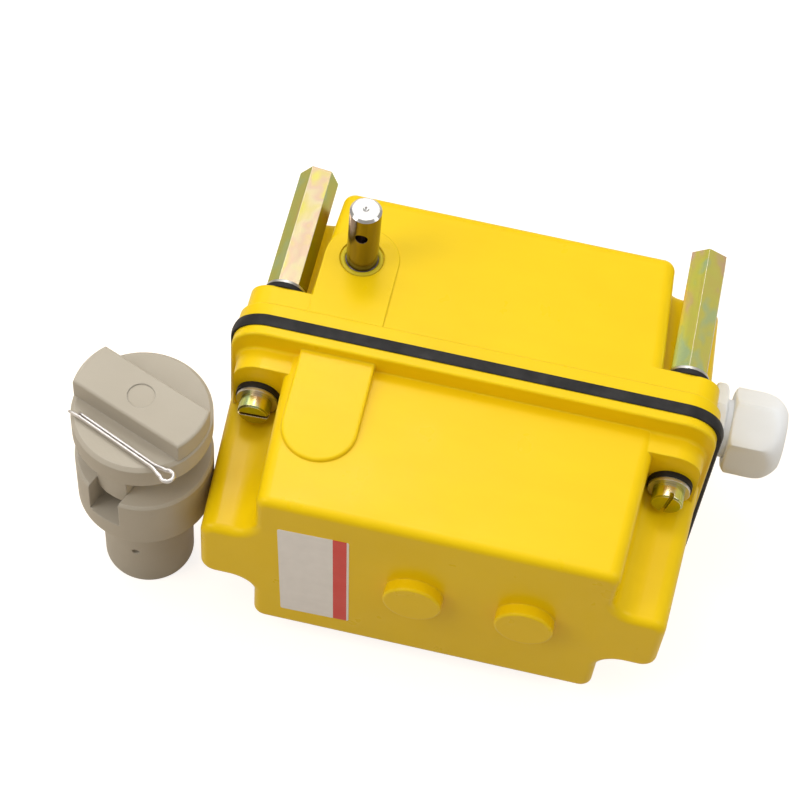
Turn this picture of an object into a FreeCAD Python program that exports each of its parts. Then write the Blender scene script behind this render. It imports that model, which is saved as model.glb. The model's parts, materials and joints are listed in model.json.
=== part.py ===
"""Rotary limit switch of a tower crane, with its loose shaft coupling standing beside it.

Millimetres, +Z up. The box lies on its side with the input shaft upright. The origin is the middle
of the four mounting standoffs' free ends, +Y is the way they point, +X runs towards the cable gland.
"""
import FreeCAD
import Part
import Sketcher
import math
import os
import re

SIZES = {
    # joint between base and cover
    "flange_length": 152.4, "flange_width": 90, "flange_corner": 11, "gasket_depth": 4,
    # both mouldings, with the drafts in degrees
    "wall": 3, "draft": 3, "top_draft": 1, "lobe_round": 5, "block_round": 4,
    # base, measured from the rear of the gasket
    "base_rim": 4.5, "ear_depth": 11.5, "base_depth": 54.1, "body_width": 88.4, "ear_corner": 7,
    "base_length": 148.8, "base_block": 113.2, "base_lobe": 46, "base_root": 52, "base_root_round": 5,
    "back_round": 3.4, "lobe_cavity": 17.5,
    # cover, measured from the front of the gasket
    "cover_rim": 3.3, "rim_round": 0.8, "rim_foot": 1, "pedestal_length": 148.2, "pedestal_width": 75.2,
    "pedestal_depth": 10.5, "pedestal_corner": 9, "cover_depth": 56.3, "cover_width": 75.8,
    "cover_length": 151, "cover_block": 116.4, "cover_lobe": 30, "cover_root_round": 8, "face_round": 2.6,
    "tongue_x": -42.4, "tongue_half": 11.7, "tongue_length": 39, "tongue_high": 41.6, "tongue_low": 38.3,
    "tongue_round": 0.8, "boss_radius": 9.2, "boss_height": 4, "boss_z": 1,
    # fastenings
    "standoff_length": 46, "standoff_flats": 11, "standoff_x": 64, "standoff_z": 38, "tap_radius": 2.5,
    "tap_depth": 15, "steel_washer": 1.2, "rubber_washer": 1.8, "steel_radius": 6.6, "rubber_radius": 7,
    "standoff_rubber": 6.9, "standoff_steel": 6.5, "screw_radius": 3, "screw_x": 65.3, "screw_z": 22,
    "head_radius": 5, "head_height": 5, "head_edge": 0.5, "slot_width": 1.4, "slot_depth": 1.8,
    "screw_reach": 10, "screw_play": 0.3, "sink_radius": 6,
    # input shaft and what carries it
    "shaft_x": -43, "shaft_y": -32, "shaft_radius": 5, "journal_radius": 5.2, "shaft_end": 70,
    "shaft_chamfer": 0.8, "cross_hole": 2, "cross_hole_height": 61, "pad_radius": 11.8, "pad_height": 0.4,
    "recess_radius": 7.1, "recess_depth": 0.6, "bearing_boss": 11.8, "bush_radius": 7.4, "bush_foot": 27,
    "seal_top": 42.4, "seal_depth": 4.4, "running": 0.04,
    # gear train
    "gear_module": 1, "pinion_teeth": 14, "wheel_teeth": 42, "wheel_face": 4, "pin_radius": 2.5,
    "level_a": 15, "level_b": 10, "level_c": 5, "collar_radius": 4.5, "pinion_seat": 4,
    # mechanism frame
    "plate": 2, "upper_plate_z": 20, "middle_plate_z": 1.5, "lower_plate_z": -31.5, "post_radius": 3,
    "frame_screw": 1.45, "frame_head": 2.8, "frame_head_height": 1.5, "frame_reach": 8, "wall_boss": 4,
    # cams and switches
    "cam_radius": 9, "cam_lobe": 10.6, "cam_width": 4, "cam_pitch": 6.5, "cam_top": -0.5, "cam_shaft": 3,
    "switch_x": 36, "switch_depth": 10, "switch_length": 20, "switch_width": 6.2, "pivot_x": 34.5,
    "pivot_pin": 0.6, "lever_width": 3.6, "plunger_radius": 1,
    # cable gland, along X
    "gland_y": -36.5, "gland_face": 74, "gland_pad": 13.5, "gland_wall": 5, "gland_flats": 25,
    "gland_thread": 10, "gland_bore": 6.5, "cable_radius": 4.5, "gland_washer": 1.5, "gland_collar": 4.5,
    "gland_neck": 2.2, "gland_nut": 11.8, "gland_dome": 6.3, "dome_mouth": 8.6, "seal_foot": 84.6,
    "seal_end": 96.4, "locknut_depth": 5,
    # coupling
    "coupling_x": -95.7, "coupling_y": -99, "coupling_radius": 21.5, "hub_radius": 14.5, "hub_height": 38,
    "hub_turn": 21, "cup_height": 22, "slot_floor": 9, "tongue_width": 11.2, "tongue_reach": 17.2,
    "tongue_depth": 4.4, "disc_gap": 13, "disc_height": 10, "bar_width": 16, "bar_height": 8,
    "coupling_turn": -22,
    # split pin
    "pin_eye_x": -82.2, "pin_eye_y": -120, "pin_turn": -24.2, "pin_wire": 1, "pin_length": 37.5,
    "eye_radius": 1.9, "eye_wire": 0.7,
}

doc = FreeCAD.newDocument("crane_limit_switch")
sheet = doc.addObject("Spreadsheet::Sheet", "Sizes")
for row, (alias, value) in enumerate(SIZES.items(), start=1):
    sheet.set("A%d" % row, alias.replace("_", " "))
    sheet.set("B%d" % row, str(value))
    sheet.setAlias("B%d" % row, alias)
doc.recompute()

SUBPARTS = []
NORMAL = {"XY_Plane": 1, "XZ_Plane": -1, "YZ_Plane": 1}

# Planes across Y, counted from the standoffs' free ends
EAR = "(-standoff_length - steel_washer - rubber_washer)"
JOINT_REAR = "(%s - ear_depth)" % EAR
JOINT_FRONT = "(%s - gasket_depth)" % JOINT_REAR
BACK_FACE = "(%s + base_depth)" % JOINT_REAR
SEAT = "(%s - pedestal_depth)" % JOINT_FRONT
LABEL_FACE = "(%s - cover_depth)" % JOINT_FRONT
TONGUE_END = "(%s - tongue_length)" % JOINT_FRONT
WALL_BOSS = "(%s - wall - wall_boss)" % BACK_FACE
FLOOR = "(-flange_width / 2)"
CENTRES = "(gear_module * (pinion_teeth + wheel_teeth) / 2)"
FOUR_WAYS = [(-1, -1), (1, -1), (1, 1), (-1, 1)]
WALL_SCREWS = [("-12", "upper_plate_z + 9"), ("34", "upper_plate_z + 9"),
               ("-12", "lower_plate_z + plate + 7"), ("34", "lower_plate_z + plate + 7")]

# One quarter of each moulding's section across Y: a lobe's corner, the notch's root and the block's corner
BASE_OUTSIDE = [("base_length / 2", "base_lobe / 2", "lobe_round"),
                ("base_block / 2", "base_root / 2", "base_root_round"),
                ("base_block / 2", "body_width / 2", "block_round")]
BASE_INSIDE = [("base_length / 2 - wall", "lobe_cavity", "lobe_round - wall"),
               ("base_block / 2 - wall", "lobe_cavity", "base_root_round + wall"),
               ("base_block / 2 - wall", "body_width / 2 - wall", "block_round - wall")]
COVER_OUTSIDE = [("cover_length / 2", "cover_lobe / 2", "lobe_round"),
                 ("cover_block / 2", "cover_lobe / 2", "cover_root_round"),
                 ("cover_block / 2", "cover_width / 2", "block_round")]
COVER_INSIDE = [("cover_length / 2 - wall", "cover_lobe / 2 - wall", "lobe_round - wall"),
                ("cover_block / 2 - wall", "cover_lobe / 2 - wall", "cover_root_round + wall"),
                ("cover_block / 2 - wall", "cover_width / 2 - wall", "block_round - wall")]
JOINT_INSIDE = [("base_length / 2 - wall", "cover_lobe / 2 - wall", "lobe_round - wall"),
                ("base_block / 2 - wall", "cover_lobe / 2 - wall", "cover_root_round + wall"),
                ("base_block / 2 - wall", "cover_width / 2 - wall", "block_round - wall")]


def expression(words):
    """Words of the sheet, such as 'wall + plate', as an expression that any object can hold."""
    return re.sub(r"[a-z]\w*", lambda m: ("Sizes." if m.group(0) in SIZES else "") + m.group(0), words)


def size(words):
    return float(sheet.evalExpression(expression(str(words))))


def bind(obj, prop, words):
    obj.setExpression(prop, expression(str(words)))


def new_body(label, x="0", y="0", z="0", turn=0.0):
    body = doc.addObject("PartDesign::Body", label)
    body.Label = label
    place = FreeCAD.Vector(size(x), size(y), size(z))
    body.Placement = FreeCAD.Placement(place, FreeCAD.Rotation(FreeCAD.Vector(0, 0, 1), turn))
    SUBPARTS.append(body)
    return body


def sketch_on(body, role, height="0"):
    """A sketch across one axis of the body, at a height along that axis."""
    plane = next(f for f in body.Origin.OriginFeatures if f.Role == role)
    sketch = body.newObject("Sketcher::SketchObject", "Outline")
    sketch.AttachmentSupport = (plane, "")
    sketch.MapMode = "FlatFace"
    bind(sketch, "AttachmentOffset.Base.z", "%d * (%s)" % (NORMAL[role], height))
    return sketch


def pin_point(sketch, geometry, vertex, x, y):
    for kind, words in (("DistanceX", x), ("DistanceY", y)):
        fixed = Sketcher.Constraint(kind, -1, 1, geometry, vertex, size(words))
        index = sketch.addConstraint(fixed)
        bind(sketch, "Constraints[%d]" % index, words)


def outline(sketch, corners):
    """A closed outline; each corner is a pair of sheet words, or three where the corner is rounded."""
    points = [FreeCAD.Vector(size(corner[0]), size(corner[1]), 0) for corner in corners]
    radii = [size(corner[2]) if len(corner) > 2 else 0.0 for corner in corners]
    count = len(points)
    leaves, arrives, arcs = [], [], []
    for i in range(count):
        back = (points[i - 1] - points[i]).normalize()
        ahead = (points[(i + 1) % count] - points[i]).normalize()
        half = back.getAngle(ahead) / 2
        arrives.append(points[i] + back * (radii[i] / math.tan(half)))
        leaves.append(points[i] + ahead * (radii[i] / math.tan(half)))
        centre = points[i] + (back + ahead).normalize() * (radii[i] / math.sin(half))
        arcs.append((centre, back.cross(ahead).z < 0))
    first = sketch.GeometryCount
    for i in range(count):
        sketch.addGeometry(Part.LineSegment(leaves[i], arrives[(i + 1) % count]))
    for i, corner in enumerate(corners):
        before, after = first + (i - 1) % count, first + i
        if not radii[i]:
            sketch.addConstraint(Sketcher.Constraint("Coincident", before, 2, after, 1))
            pin_point(sketch, after, 1, corner[0], corner[1])
            continue
        round_corner(sketch, corner, (before, after), (arrives[i], leaves[i]), arcs[i])


def round_corner(sketch, corner, lines, ends, arc):
    """Arc tangent to two lines, with the sharp corner kept as the point that places both."""
    centre, leftwards = arc
    angles = [math.atan2(end.y - centre.y, end.x - centre.x) for end in ends]
    start, stop = angles if leftwards else angles[::-1]
    whole = Part.Circle(centre, FreeCAD.Vector(0, 0, 1), size(corner[2]))
    index = sketch.addGeometry(Part.ArcOfCircle(whole, start, stop))
    sketch.addConstraint(Sketcher.Constraint("Tangent", lines[0], 2, index, 1 if leftwards else 2))
    sketch.addConstraint(Sketcher.Constraint("Tangent", lines[1], 1, index, 2 if leftwards else 1))
    fixed = sketch.addConstraint(Sketcher.Constraint("Radius", index, size(corner[2])))
    bind(sketch, "Constraints[%d]" % fixed, corner[2])
    sharp = sketch.addGeometry(Part.Point(FreeCAD.Vector(size(corner[0]), size(corner[1]), 0)), True)
    pin_point(sketch, sharp, 1, corner[0], corner[1])
    for line in lines:
        sketch.addConstraint(Sketcher.Constraint("PointOnObject", sharp, 1, line))


def rectangle(sketch, left, right, low, high, *corner):
    places = [(left, low), (right, low), (right, high), (left, high)]
    outline(sketch, [place + corner for place in places])


def box_about(sketch, x, y, half_x, half_y, *corner):
    rectangle(sketch, "%s - %s" % (x, half_x), "%s + %s" % (x, half_x),
              "%s - %s" % (y, half_y), "%s + %s" % (y, half_y), *corner)


def circle(sketch, x, y, radius):
    centre = FreeCAD.Vector(size(x), size(y), 0)
    index = sketch.addGeometry(Part.Circle(centre, FreeCAD.Vector(0, 0, 1), size(radius)))
    pin_point(sketch, index, 3, x, y)
    fixed = sketch.addConstraint(Sketcher.Constraint("Radius", index, size(radius)))
    bind(sketch, "Constraints[%d]" % fixed, radius)


def free_outline(sketch, points):
    """A closed outline through points worked out by a formula, such as gear teeth."""
    vectors = [FreeCAD.Vector(x, y, 0) for x, y in points]
    for start, end in zip(vectors, vectors[1:] + vectors[:1]):
        sketch.addGeometry(Part.LineSegment(start, end))


def slot_end(sketch, x, half_width, straight_y, round_y):
    """A strip along Y, square at straight_y and with a half round of half_width about round_y."""
    left, right = size("%s - %s" % (x, half_width)), size("%s + %s" % (x, half_width))
    middle, radius = size(x), size(half_width)
    flat, centre = size(straight_y), size(round_y)
    bulge = centre + math.copysign(radius, centre - flat)
    corner = [FreeCAD.Vector(left, centre, 0), FreeCAD.Vector(left, flat, 0),
              FreeCAD.Vector(right, flat, 0), FreeCAD.Vector(right, centre, 0)]
    for start, end in zip(corner, corner[1:]):
        sketch.addGeometry(Part.LineSegment(start, end))
    sketch.addGeometry(Part.Arc(corner[3], FreeCAD.Vector(middle, bulge, 0), corner[0]))


def add_feature(body, kind, sketch, length, backwards):
    feature = body.newObject("PartDesign::" + kind, kind)
    feature.Profile = sketch
    bind(feature, "Length", length)
    feature.Reversed = backwards


def grow(body, sketch, length, way):
    """Pads a sketch along its axis: way is 1 or -1."""
    role = sketch.AttachmentSupport[0][0].Role
    add_feature(body, "Pad", sketch, length, way * NORMAL[role] < 0)


def cut(body, sketch, length, way):
    """Pockets a sketch along its axis: way is 1 or -1."""
    role = sketch.AttachmentSupport[0][0].Role
    add_feature(body, "Pocket", sketch, length, way * NORMAL[role] > 0)


def revolve(body, sketch):
    """Turns a sketch once round the body's own Z axis."""
    feature = body.newObject("PartDesign::Revolution", "Turned")
    feature.Profile = sketch
    feature.ReferenceAxis = (sketch, ["V_Axis"])
    feature.Angle = 360


def turned(body, profile):
    """Revolves an outline of (radius, height) corners about the body's own Z axis."""
    sketch = sketch_on(body, "XZ_Plane")
    outline(sketch, profile)
    revolve(body, sketch)


def ring(label, x, y, z, outer, inner, length):
    """A plain ring standing on z, with its axis along Z."""
    body = new_body(label, x, y, z)
    turned(body, [(inner, "0"), (outer, "0"), (outer, length), (inner, length)])
    return body


def bevel(body, words, wanted, kind="Fillet"):
    """Rounds or chamfers the edges that wanted picks out."""
    doc.recompute()
    base = body.Tip
    names = ["Edge%d" % (i + 1) for i, edge in enumerate(base.Shape.Edges) if wanted(edge)]
    if not names:
        raise ValueError("no edge to treat on " + body.Label)
    feature = body.newObject("PartDesign::" + kind, kind)
    feature.Base = (base, names)
    bind(feature, "Radius" if kind == "Fillet" else "Size", words)


def middle(edge):
    return edge.valueAt((edge.FirstParameter + edge.LastParameter) / 2)


def near(a, b, slack=0.01):
    return abs(a - b) < slack


def in_plane(axis, words):
    """Edges that lie whole in a plane across one axis."""
    value = size(words)

    def wanted(edge):
        points = [v.Point for v in edge.Vertexes] + [middle(edge)]
        return all(near(getattr(point, axis), value) for point in points)
    return wanted


def cross_outline(sketch, quarter, inward_x="0", inward_z="0"):
    """Block with its four corners notched out, so that a lobe is left at each end."""
    corners = []
    for sign_x, sign_z in ((1, 1), (-1, 1), (-1, -1), (1, -1)):
        part = quarter if sign_x == sign_z else quarter[::-1]
        for x, z, radius in part:
            corners.append(("%d * (%s - %s)" % (sign_x, x, inward_x),
                            "%d * (%s - %s)" % (sign_z, z, inward_z), radius))
    outline(sketch, corners)


def drafted(body, kind, planes, quarter, inward_x, inward_z):
    """Lofts a notched block between two planes across Y, drawn in at the second one by its draft."""
    sections = []
    for plane, draw_x, draw_z in zip(planes, ("0", inward_x), ("0", inward_z)):
        section = sketch_on(body, "XZ_Plane", plane)
        cross_outline(section, quarter, draw_x, draw_z)
        sections.append(section)
    loft = body.newObject("PartDesign::" + kind, kind)
    loft.Profile = sections[0]
    loft.Sections = sections[1:]
    loft.Ruled = True


def four_circles(sketch, x, z, radius):
    for sign_x, sign_z in FOUR_WAYS:
        circle(sketch, "%d * %s" % (sign_x, x), "%d * %s" % (sign_z, z), radius)


def make_base():
    body = new_body("base_housing")
    rim = sketch_on(body, "XZ_Plane", JOINT_REAR)
    box_about(rim, "0", "0", "flange_length / 2", "flange_width / 2", "flange_corner")
    grow(body, rim, "base_rim", 1)
    ears = sketch_on(body, "XZ_Plane", JOINT_REAR)
    box_about(ears, "0", "0", "base_length / 2", "body_width / 2", "ear_corner")
    grow(body, ears, "ear_depth", 1)
    drafted(body, "AdditiveLoft", (JOINT_REAR, BACK_FACE), BASE_OUTSIDE, "base_depth * tan(draft)", "0")
    bevel(body, "back_round", in_plane("y", BACK_FACE))
    shaft_pad = sketch_on(body, "XY_Plane", "body_width / 2 - block_round")
    slot_end(shaft_pad, "shaft_x", "pad_radius", JOINT_REAR, "shaft_y")
    grow(body, shaft_pad, "block_round + pad_height", 1)
    gland_pad = sketch_on(body, "YZ_Plane", "gland_face - wall")
    circle(gland_pad, "gland_y", "0", "gland_pad")
    grow(body, gland_pad, "wall", 1)
    floor = "(%s - wall)" % BACK_FACE
    drafted(body, "SubtractiveLoft", (JOINT_REAR, floor), BASE_INSIDE,
            "(base_depth - wall) * tan(draft)", "0")
    add_shaft_bearing(body)
    add_gland_seat(body)
    add_ear_holes(body)
    studs = sketch_on(body, "XZ_Plane", WALL_BOSS)
    for x, z in WALL_SCREWS:
        circle(studs, x, z, "2 * post_radius / 1.5")
    grow(body, studs, "wall_boss + wall / 2", 1)
    stud_holes = sketch_on(body, "XZ_Plane", WALL_BOSS)
    for x, z in WALL_SCREWS:
        circle(stud_holes, x, z, "frame_screw + running")
    cut(body, stud_holes, "frame_reach - plate", 1)


def add_shaft_bearing(body):
    """Boss under the top wall for bush and seal, and the hole with a shallow recess for the shaft."""
    pad_top = "(body_width / 2 + pad_height)"
    boss = sketch_on(body, "XY_Plane", "bush_foot")
    circle(boss, "shaft_x", "shaft_y", "bearing_boss")
    grow(body, boss, "body_width / 2 - wall / 2 - bush_foot", 1)
    for low, high, radius in (("bush_foot", "seal_top", "bush_radius + running / 2"),
                              ("seal_top", pad_top, "journal_radius + running + 0.2"),
                              (pad_top + " - recess_depth", pad_top, "recess_radius")):
        hole = sketch_on(body, "XY_Plane", low)
        circle(hole, "shaft_x", "shaft_y", radius)
        cut(body, hole, "%s - (%s)" % (high, low), 1)


def add_gland_seat(body):
    """Flat seat inside the drafted end wall for the gland's locknut, and the hole for its thread."""
    inner_face = "(gland_face - gland_wall)"
    seat = sketch_on(body, "YZ_Plane", inner_face)
    circle(seat, "gland_y", "0", "gland_pad + 1")
    grow(body, seat, "gland_wall - wall / 2", 1)
    entry = sketch_on(body, "YZ_Plane", inner_face)
    circle(entry, "gland_y", "0", "gland_thread + running")
    cut(body, entry, "gland_wall", 1)


def add_ear_holes(body):
    """Tapped holes for the cover's screws, and countersunk ones for the screws that hold the standoffs."""
    for x, z, radius in (("screw_x", "screw_z", "screw_radius + running / 2"),
                         ("standoff_x", "standoff_z", "screw_radius + running")):
        holes = sketch_on(body, "XZ_Plane", JOINT_REAR)
        four_circles(holes, x, z, radius)
        cut(body, holes, "ear_depth", 1)
    at_joint = in_plane("y", JOINT_REAR)
    bevel(body, "sink_radius - screw_radius", lambda edge: edge.Closed and at_joint(edge)
          and abs(middle(edge).z) > size("standoff_z - sink_radius"), "Chamfer")


def make_cover():
    body = new_body("cover_housing")
    rim_face = "(%s - cover_rim)" % JOINT_FRONT
    rim = sketch_on(body, "XZ_Plane", JOINT_FRONT)
    box_about(rim, "0", "0", "flange_length / 2", "flange_width / 2", "flange_corner")
    grow(body, rim, "cover_rim", -1)
    bevel(body, "rim_round", in_plane("y", rim_face))
    pedestal = sketch_on(body, "XZ_Plane", JOINT_FRONT)
    box_about(pedestal, "0", "0", "pedestal_length / 2", "pedestal_width / 2", "pedestal_corner")
    grow(body, pedestal, "pedestal_depth", -1)
    bind(body.Tip, "TaperAngle", "-draft")
    on_rim_face = in_plane("y", rim_face)
    half_length, half_width = size("pedestal_length / 2 + 0.1"), size("pedestal_width / 2 + 0.1")
    bevel(body, "rim_foot", lambda edge: on_rim_face(edge) and abs(middle(edge).x) < half_length
          and abs(middle(edge).z) < half_width)
    drafted(body, "AdditiveLoft", (JOINT_FRONT, LABEL_FACE), COVER_OUTSIDE, "cover_depth * tan(draft)",
            "cover_depth * tan(top_draft)")
    bevel(body, "face_round", in_plane("y", LABEL_FACE))
    add_tongue(body, rim_face)
    bosses = sketch_on(body, "XZ_Plane", "%s + wall / 2" % LABEL_FACE)
    for x in ("-4.6", "30.4"):
        circle(bosses, x, "boss_z", "boss_radius")
    grow(body, bosses, "boss_height + wall / 2", -1)
    bevel(body, "wall / 4", in_plane("y", "%s - boss_height" % LABEL_FACE))
    ceiling = "(%s + wall)" % LABEL_FACE
    drafted(body, "SubtractiveLoft", (JOINT_FRONT, ceiling), COVER_INSIDE,
            "(cover_depth - wall) * tan(draft)", "(cover_depth - wall) * tan(top_draft)")
    holes = sketch_on(body, "XZ_Plane", JOINT_FRONT)
    four_circles(holes, "screw_x", "screw_z", "screw_radius + screw_play")
    cut(body, holes, "pedestal_depth", -1)


def add_tongue(body, rim_face):
    """Raised tongue in line with the shaft, sloping from the rim down to the block's top."""
    strip = sketch_on(body, "XY_Plane", "tongue_low - wall / 2")
    slot_end(strip, "tongue_x", "tongue_half", JOINT_FRONT, TONGUE_END + " + tongue_half")
    grow(body, strip, "tongue_high - (tongue_low - wall / 2)", 1)
    slope = sketch_on(body, "YZ_Plane", "tongue_x - tongue_half - 1")
    past_end = TONGUE_END + " - 1"
    outline(slope, [(rim_face, "tongue_high"), (TONGUE_END, "tongue_low"), (past_end, "tongue_low"),
                    (past_end, "tongue_high + 1"), (rim_face, "tongue_high + 1")])
    cut(body, slope, "2 * tongue_half + 2", 1)

    low, end, start = size("tongue_low"), size(TONGUE_END), size(rim_face)
    fall = (size("tongue_high") - low) / (start - end)

    def on_slope(edge):
        points = [v.Point for v in edge.Vertexes] + [middle(edge)]
        in_slope = all(near(point.z, low + fall * (point.y - end)) for point in points)
        return in_slope and not near(middle(edge).y, start)
    bevel(body, "tongue_round", on_slope)


def make_gasket():
    body = new_body("joint_gasket")
    sheet_outline = sketch_on(body, "XZ_Plane", JOINT_FRONT)
    box_about(sheet_outline, "0", "0", "flange_length / 2", "flange_width / 2", "flange_corner")
    grow(body, sheet_outline, "gasket_depth", 1)
    opening = sketch_on(body, "XZ_Plane", JOINT_FRONT)
    cross_outline(opening, JOINT_INSIDE)
    cut(body, opening, "gasket_depth", 1)
    holes = sketch_on(body, "XZ_Plane", JOINT_FRONT)
    four_circles(holes, "screw_x", "screw_z", "screw_radius + screw_play")
    cut(body, holes, "gasket_depth", 1)


def washers(label, x, z, face, thickness, outer, way):
    body = new_body(label)
    rings = sketch_on(body, "XZ_Plane", face)
    four_circles(rings, x, z, outer)
    four_circles(rings, x, z, "screw_radius + screw_play")
    grow(body, rings, thickness, way)


def make_fastenings():
    washers("cover_seal_washers", "screw_x", "screw_z", SEAT, "rubber_washer", "rubber_radius", -1)
    washers("cover_washers", "screw_x", "screw_z", SEAT + " - rubber_washer", "steel_washer",
            "steel_radius", -1)
    washers("standoff_seal_washers", "standoff_x", "standoff_z", EAR, "rubber_washer", "standoff_rubber", 1)
    washers("standoff_washers", "standoff_x", "standoff_z", EAR + " + rubber_washer", "steel_washer",
            "standoff_steel", 1)

    screws = new_body("cover_screws")
    under_head = "%s - rubber_washer - steel_washer" % SEAT
    shanks = sketch_on(screws, "XZ_Plane", under_head)
    four_circles(shanks, "screw_x", "screw_z", "screw_radius")
    grow(screws, shanks, "%s + screw_reach - (%s)" % (JOINT_REAR, under_head), 1)
    heads = sketch_on(screws, "XZ_Plane", under_head)
    four_circles(heads, "screw_x", "screw_z", "head_radius")
    grow(screws, heads, "head_height", -1)
    bevel(screws, "head_edge", in_plane("y", under_head + " - head_height"), "Chamfer")
    slots = sketch_on(screws, "XZ_Plane", "%s - head_height" % under_head)
    for (sign_x, sign_z), angle in zip(FOUR_WAYS, (35, 95, 80, 4)):
        turned_slot(slots, sign_x * size("screw_x"), sign_z * size("screw_z"), angle, "head_radius + 1",
                    "slot_width / 2")
    cut(screws, slots, "slot_depth", 1)

    sunk = new_body("standoff_screws")
    heads = sketch_on(sunk, "XZ_Plane", JOINT_REAR)
    four_circles(heads, "standoff_x", "standoff_z", "sink_radius - running")
    grow(sunk, heads, "sink_radius - screw_radius - running", 1)
    bevel(sunk, "sink_radius - screw_radius - 3 * running", lambda edge: edge.Closed
          and near(middle(edge).y, size(JOINT_REAR + " + sink_radius - screw_radius - running")), "Chamfer")
    shanks = sketch_on(sunk, "XZ_Plane", JOINT_REAR)
    four_circles(shanks, "standoff_x", "standoff_z", "screw_radius - running")
    grow(sunk, shanks, "ear_depth + rubber_washer + steel_washer + tap_depth - 3", 1)

    standoffs = new_body("standoffs")
    hexagons = sketch_on(standoffs, "XZ_Plane", "0")
    corner_radius = size("standoff_flats / 2 / cos(30)")
    for (sign_x, sign_z), angle in zip(FOUR_WAYS, (8, 24, 36, -8)):
        centre_x, centre_z = sign_x * size("standoff_x"), sign_z * size("standoff_z")
        free_outline(hexagons, polygon(6, corner_radius, angle, centre_x, centre_z))
    grow(standoffs, hexagons, "standoff_length", -1)
    far_holes = sketch_on(standoffs, "XZ_Plane", "0")
    four_circles(far_holes, "standoff_x", "standoff_z", "tap_radius")
    cut(standoffs, far_holes, "tap_depth", -1)
    near_holes = sketch_on(standoffs, "XZ_Plane", "-standoff_length")
    four_circles(near_holes, "standoff_x", "standoff_z", "screw_radius")
    cut(standoffs, near_holes, "tap_depth", 1)


def polygon(sides, radius, first_angle, centre_x=0.0, centre_y=0.0):
    angles = [math.radians(first_angle + 360 * i / sides) for i in range(sides)]
    return [(centre_x + radius * math.cos(a), centre_y + radius * math.sin(a)) for a in angles]


def turned_slot(sketch, x, y, angle, reach, half_width):
    """Slot right across a round piece, at an angle to the sketch's first axis."""
    along = FreeCAD.Vector(math.cos(math.radians(angle)), math.sin(math.radians(angle)), 0)
    across = FreeCAD.Vector(-along.y, along.x, 0)
    end = along * size(reach)
    side = across * size(half_width)
    centre = FreeCAD.Vector(x, y, 0)
    corners = [centre + end + side, centre - end + side, centre - end - side, centre + end - side]
    free_outline(sketch, [(c.x, c.y) for c in corners])


def make_input_shaft():
    shaft = new_body("input_shaft", "shaft_x", "shaft_y")
    clip_low, clip_high = "bush_foot - 2", "bush_foot - 0.9"
    shoulder = "body_width / 2 + 0.1"
    turned(shaft, [("0", "lower_plate_z"), ("cam_shaft", "lower_plate_z"),
                   ("cam_shaft", "lower_plate_z + 8"), ("pinion_seat", "lower_plate_z + 8"),
                   ("pinion_seat", "bush_foot - 4"), ("journal_radius", "bush_foot - 4"),
                   ("journal_radius", clip_low), ("pinion_seat", clip_low),
                   ("pinion_seat", clip_high), ("journal_radius", clip_high),
                   ("journal_radius", shoulder), ("shaft_radius", shoulder),
                   ("shaft_radius", "shaft_end - shaft_chamfer"),
                   ("shaft_radius - shaft_chamfer", "shaft_end"), ("1", "shaft_end"), ("0", "shaft_end - 1")])
    hole = sketch_on(shaft, "XZ_Plane", "shaft_radius + 1")
    circle(hole, "0", "cross_hole_height", "cross_hole")
    cut(shaft, hole, "2 * shaft_radius + 2", -1)

    ring("shaft_clip", "shaft_x", "shaft_y", clip_low + " + running", "bush_radius",
         "pinion_seat + running", "1.1 - 2 * running")
    bush_top = "(seal_top - seal_depth)"
    ring("shaft_bush", "shaft_x", "shaft_y", "bush_foot", "bush_radius", "journal_radius + running",
         bush_top + " - bush_foot")
    seal = new_body("shaft_seal", "shaft_x", "shaft_y", bush_top)
    turned(seal, [("journal_radius + running", "seal_depth - 1.2"), ("journal_radius + 0.8", "0.4"),
                  ("bush_radius", "0"), ("bush_radius", "seal_depth"),
                  ("journal_radius + 0.6", "seal_depth"), ("journal_radius + running", "seal_depth - 0.6")])
    ring("shaft_foot_bush", "shaft_x", "shaft_y", "lower_plate_z", "collar_radius", "cam_shaft + running",
         "plate")


def gear_outline(teeth, first_tooth):
    """Corners of a spur gear whose flanks follow the involute at root, pitch line and tip."""
    module = size("gear_module")
    pitch = teeth * module / 2
    pressure = math.radians(20)
    base = pitch * math.cos(pressure)
    play = 0.09

    def half_angle(radius):
        turn = math.acos(min(1.0, base / radius))
        start = math.pi / (2 * teeth) + math.tan(pressure) - pressure
        return start - (math.tan(turn) - turn) - play / pitch

    radii = (pitch - 1.2 * module, pitch, pitch + 0.85 * module)
    points = []
    for tooth in range(teeth):
        centre = math.radians(first_tooth) + 2 * math.pi * tooth / teeth
        rising = [(r, centre - half_angle(r)) for r in radii]
        falling = [(r, centre + half_angle(r)) for r in radii[::-1]]
        points += [(r * math.cos(a), r * math.sin(a)) for r, a in rising + falling]
    return points


def add_gear(body, teeth, z, length, first_tooth):
    sketch = sketch_on(body, "XY_Plane", z)
    free_outline(sketch, gear_outline(int(size(teeth)), first_tooth))
    grow(body, sketch, length, 1)


def bore(body, radius, low, high):
    sketch = sketch_on(body, "XY_Plane", low)
    circle(sketch, "0", "0", radius)
    cut(body, sketch, "%s - (%s)" % (high, low), 1)


def collar(body, radius, low, high):
    sketch = sketch_on(body, "XY_Plane", low)
    circle(sketch, "0", "0", radius)
    grow(body, sketch, "%s - (%s)" % (high, low), 1)


# The train runs shaft, first idler, second idler, cam shaft; each step turns by an angle in XY
TRAIN_ANGLES = (-35, 0, -60)


def train_centres():
    centres = [(size("shaft_x"), size("shaft_y"))]
    for angle in TRAIN_ANGLES:
        x, y = centres[-1]
        step = size(CENTRES)
        centres.append((x + step * math.cos(math.radians(angle)), y + step * math.sin(math.radians(angle))))
    return centres


CENTRE = train_centres()


def gap_towards(teeth, angle):
    """First tooth angle that leaves a gap between two teeth pointing along angle."""
    return angle + 180 / size(teeth)


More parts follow.
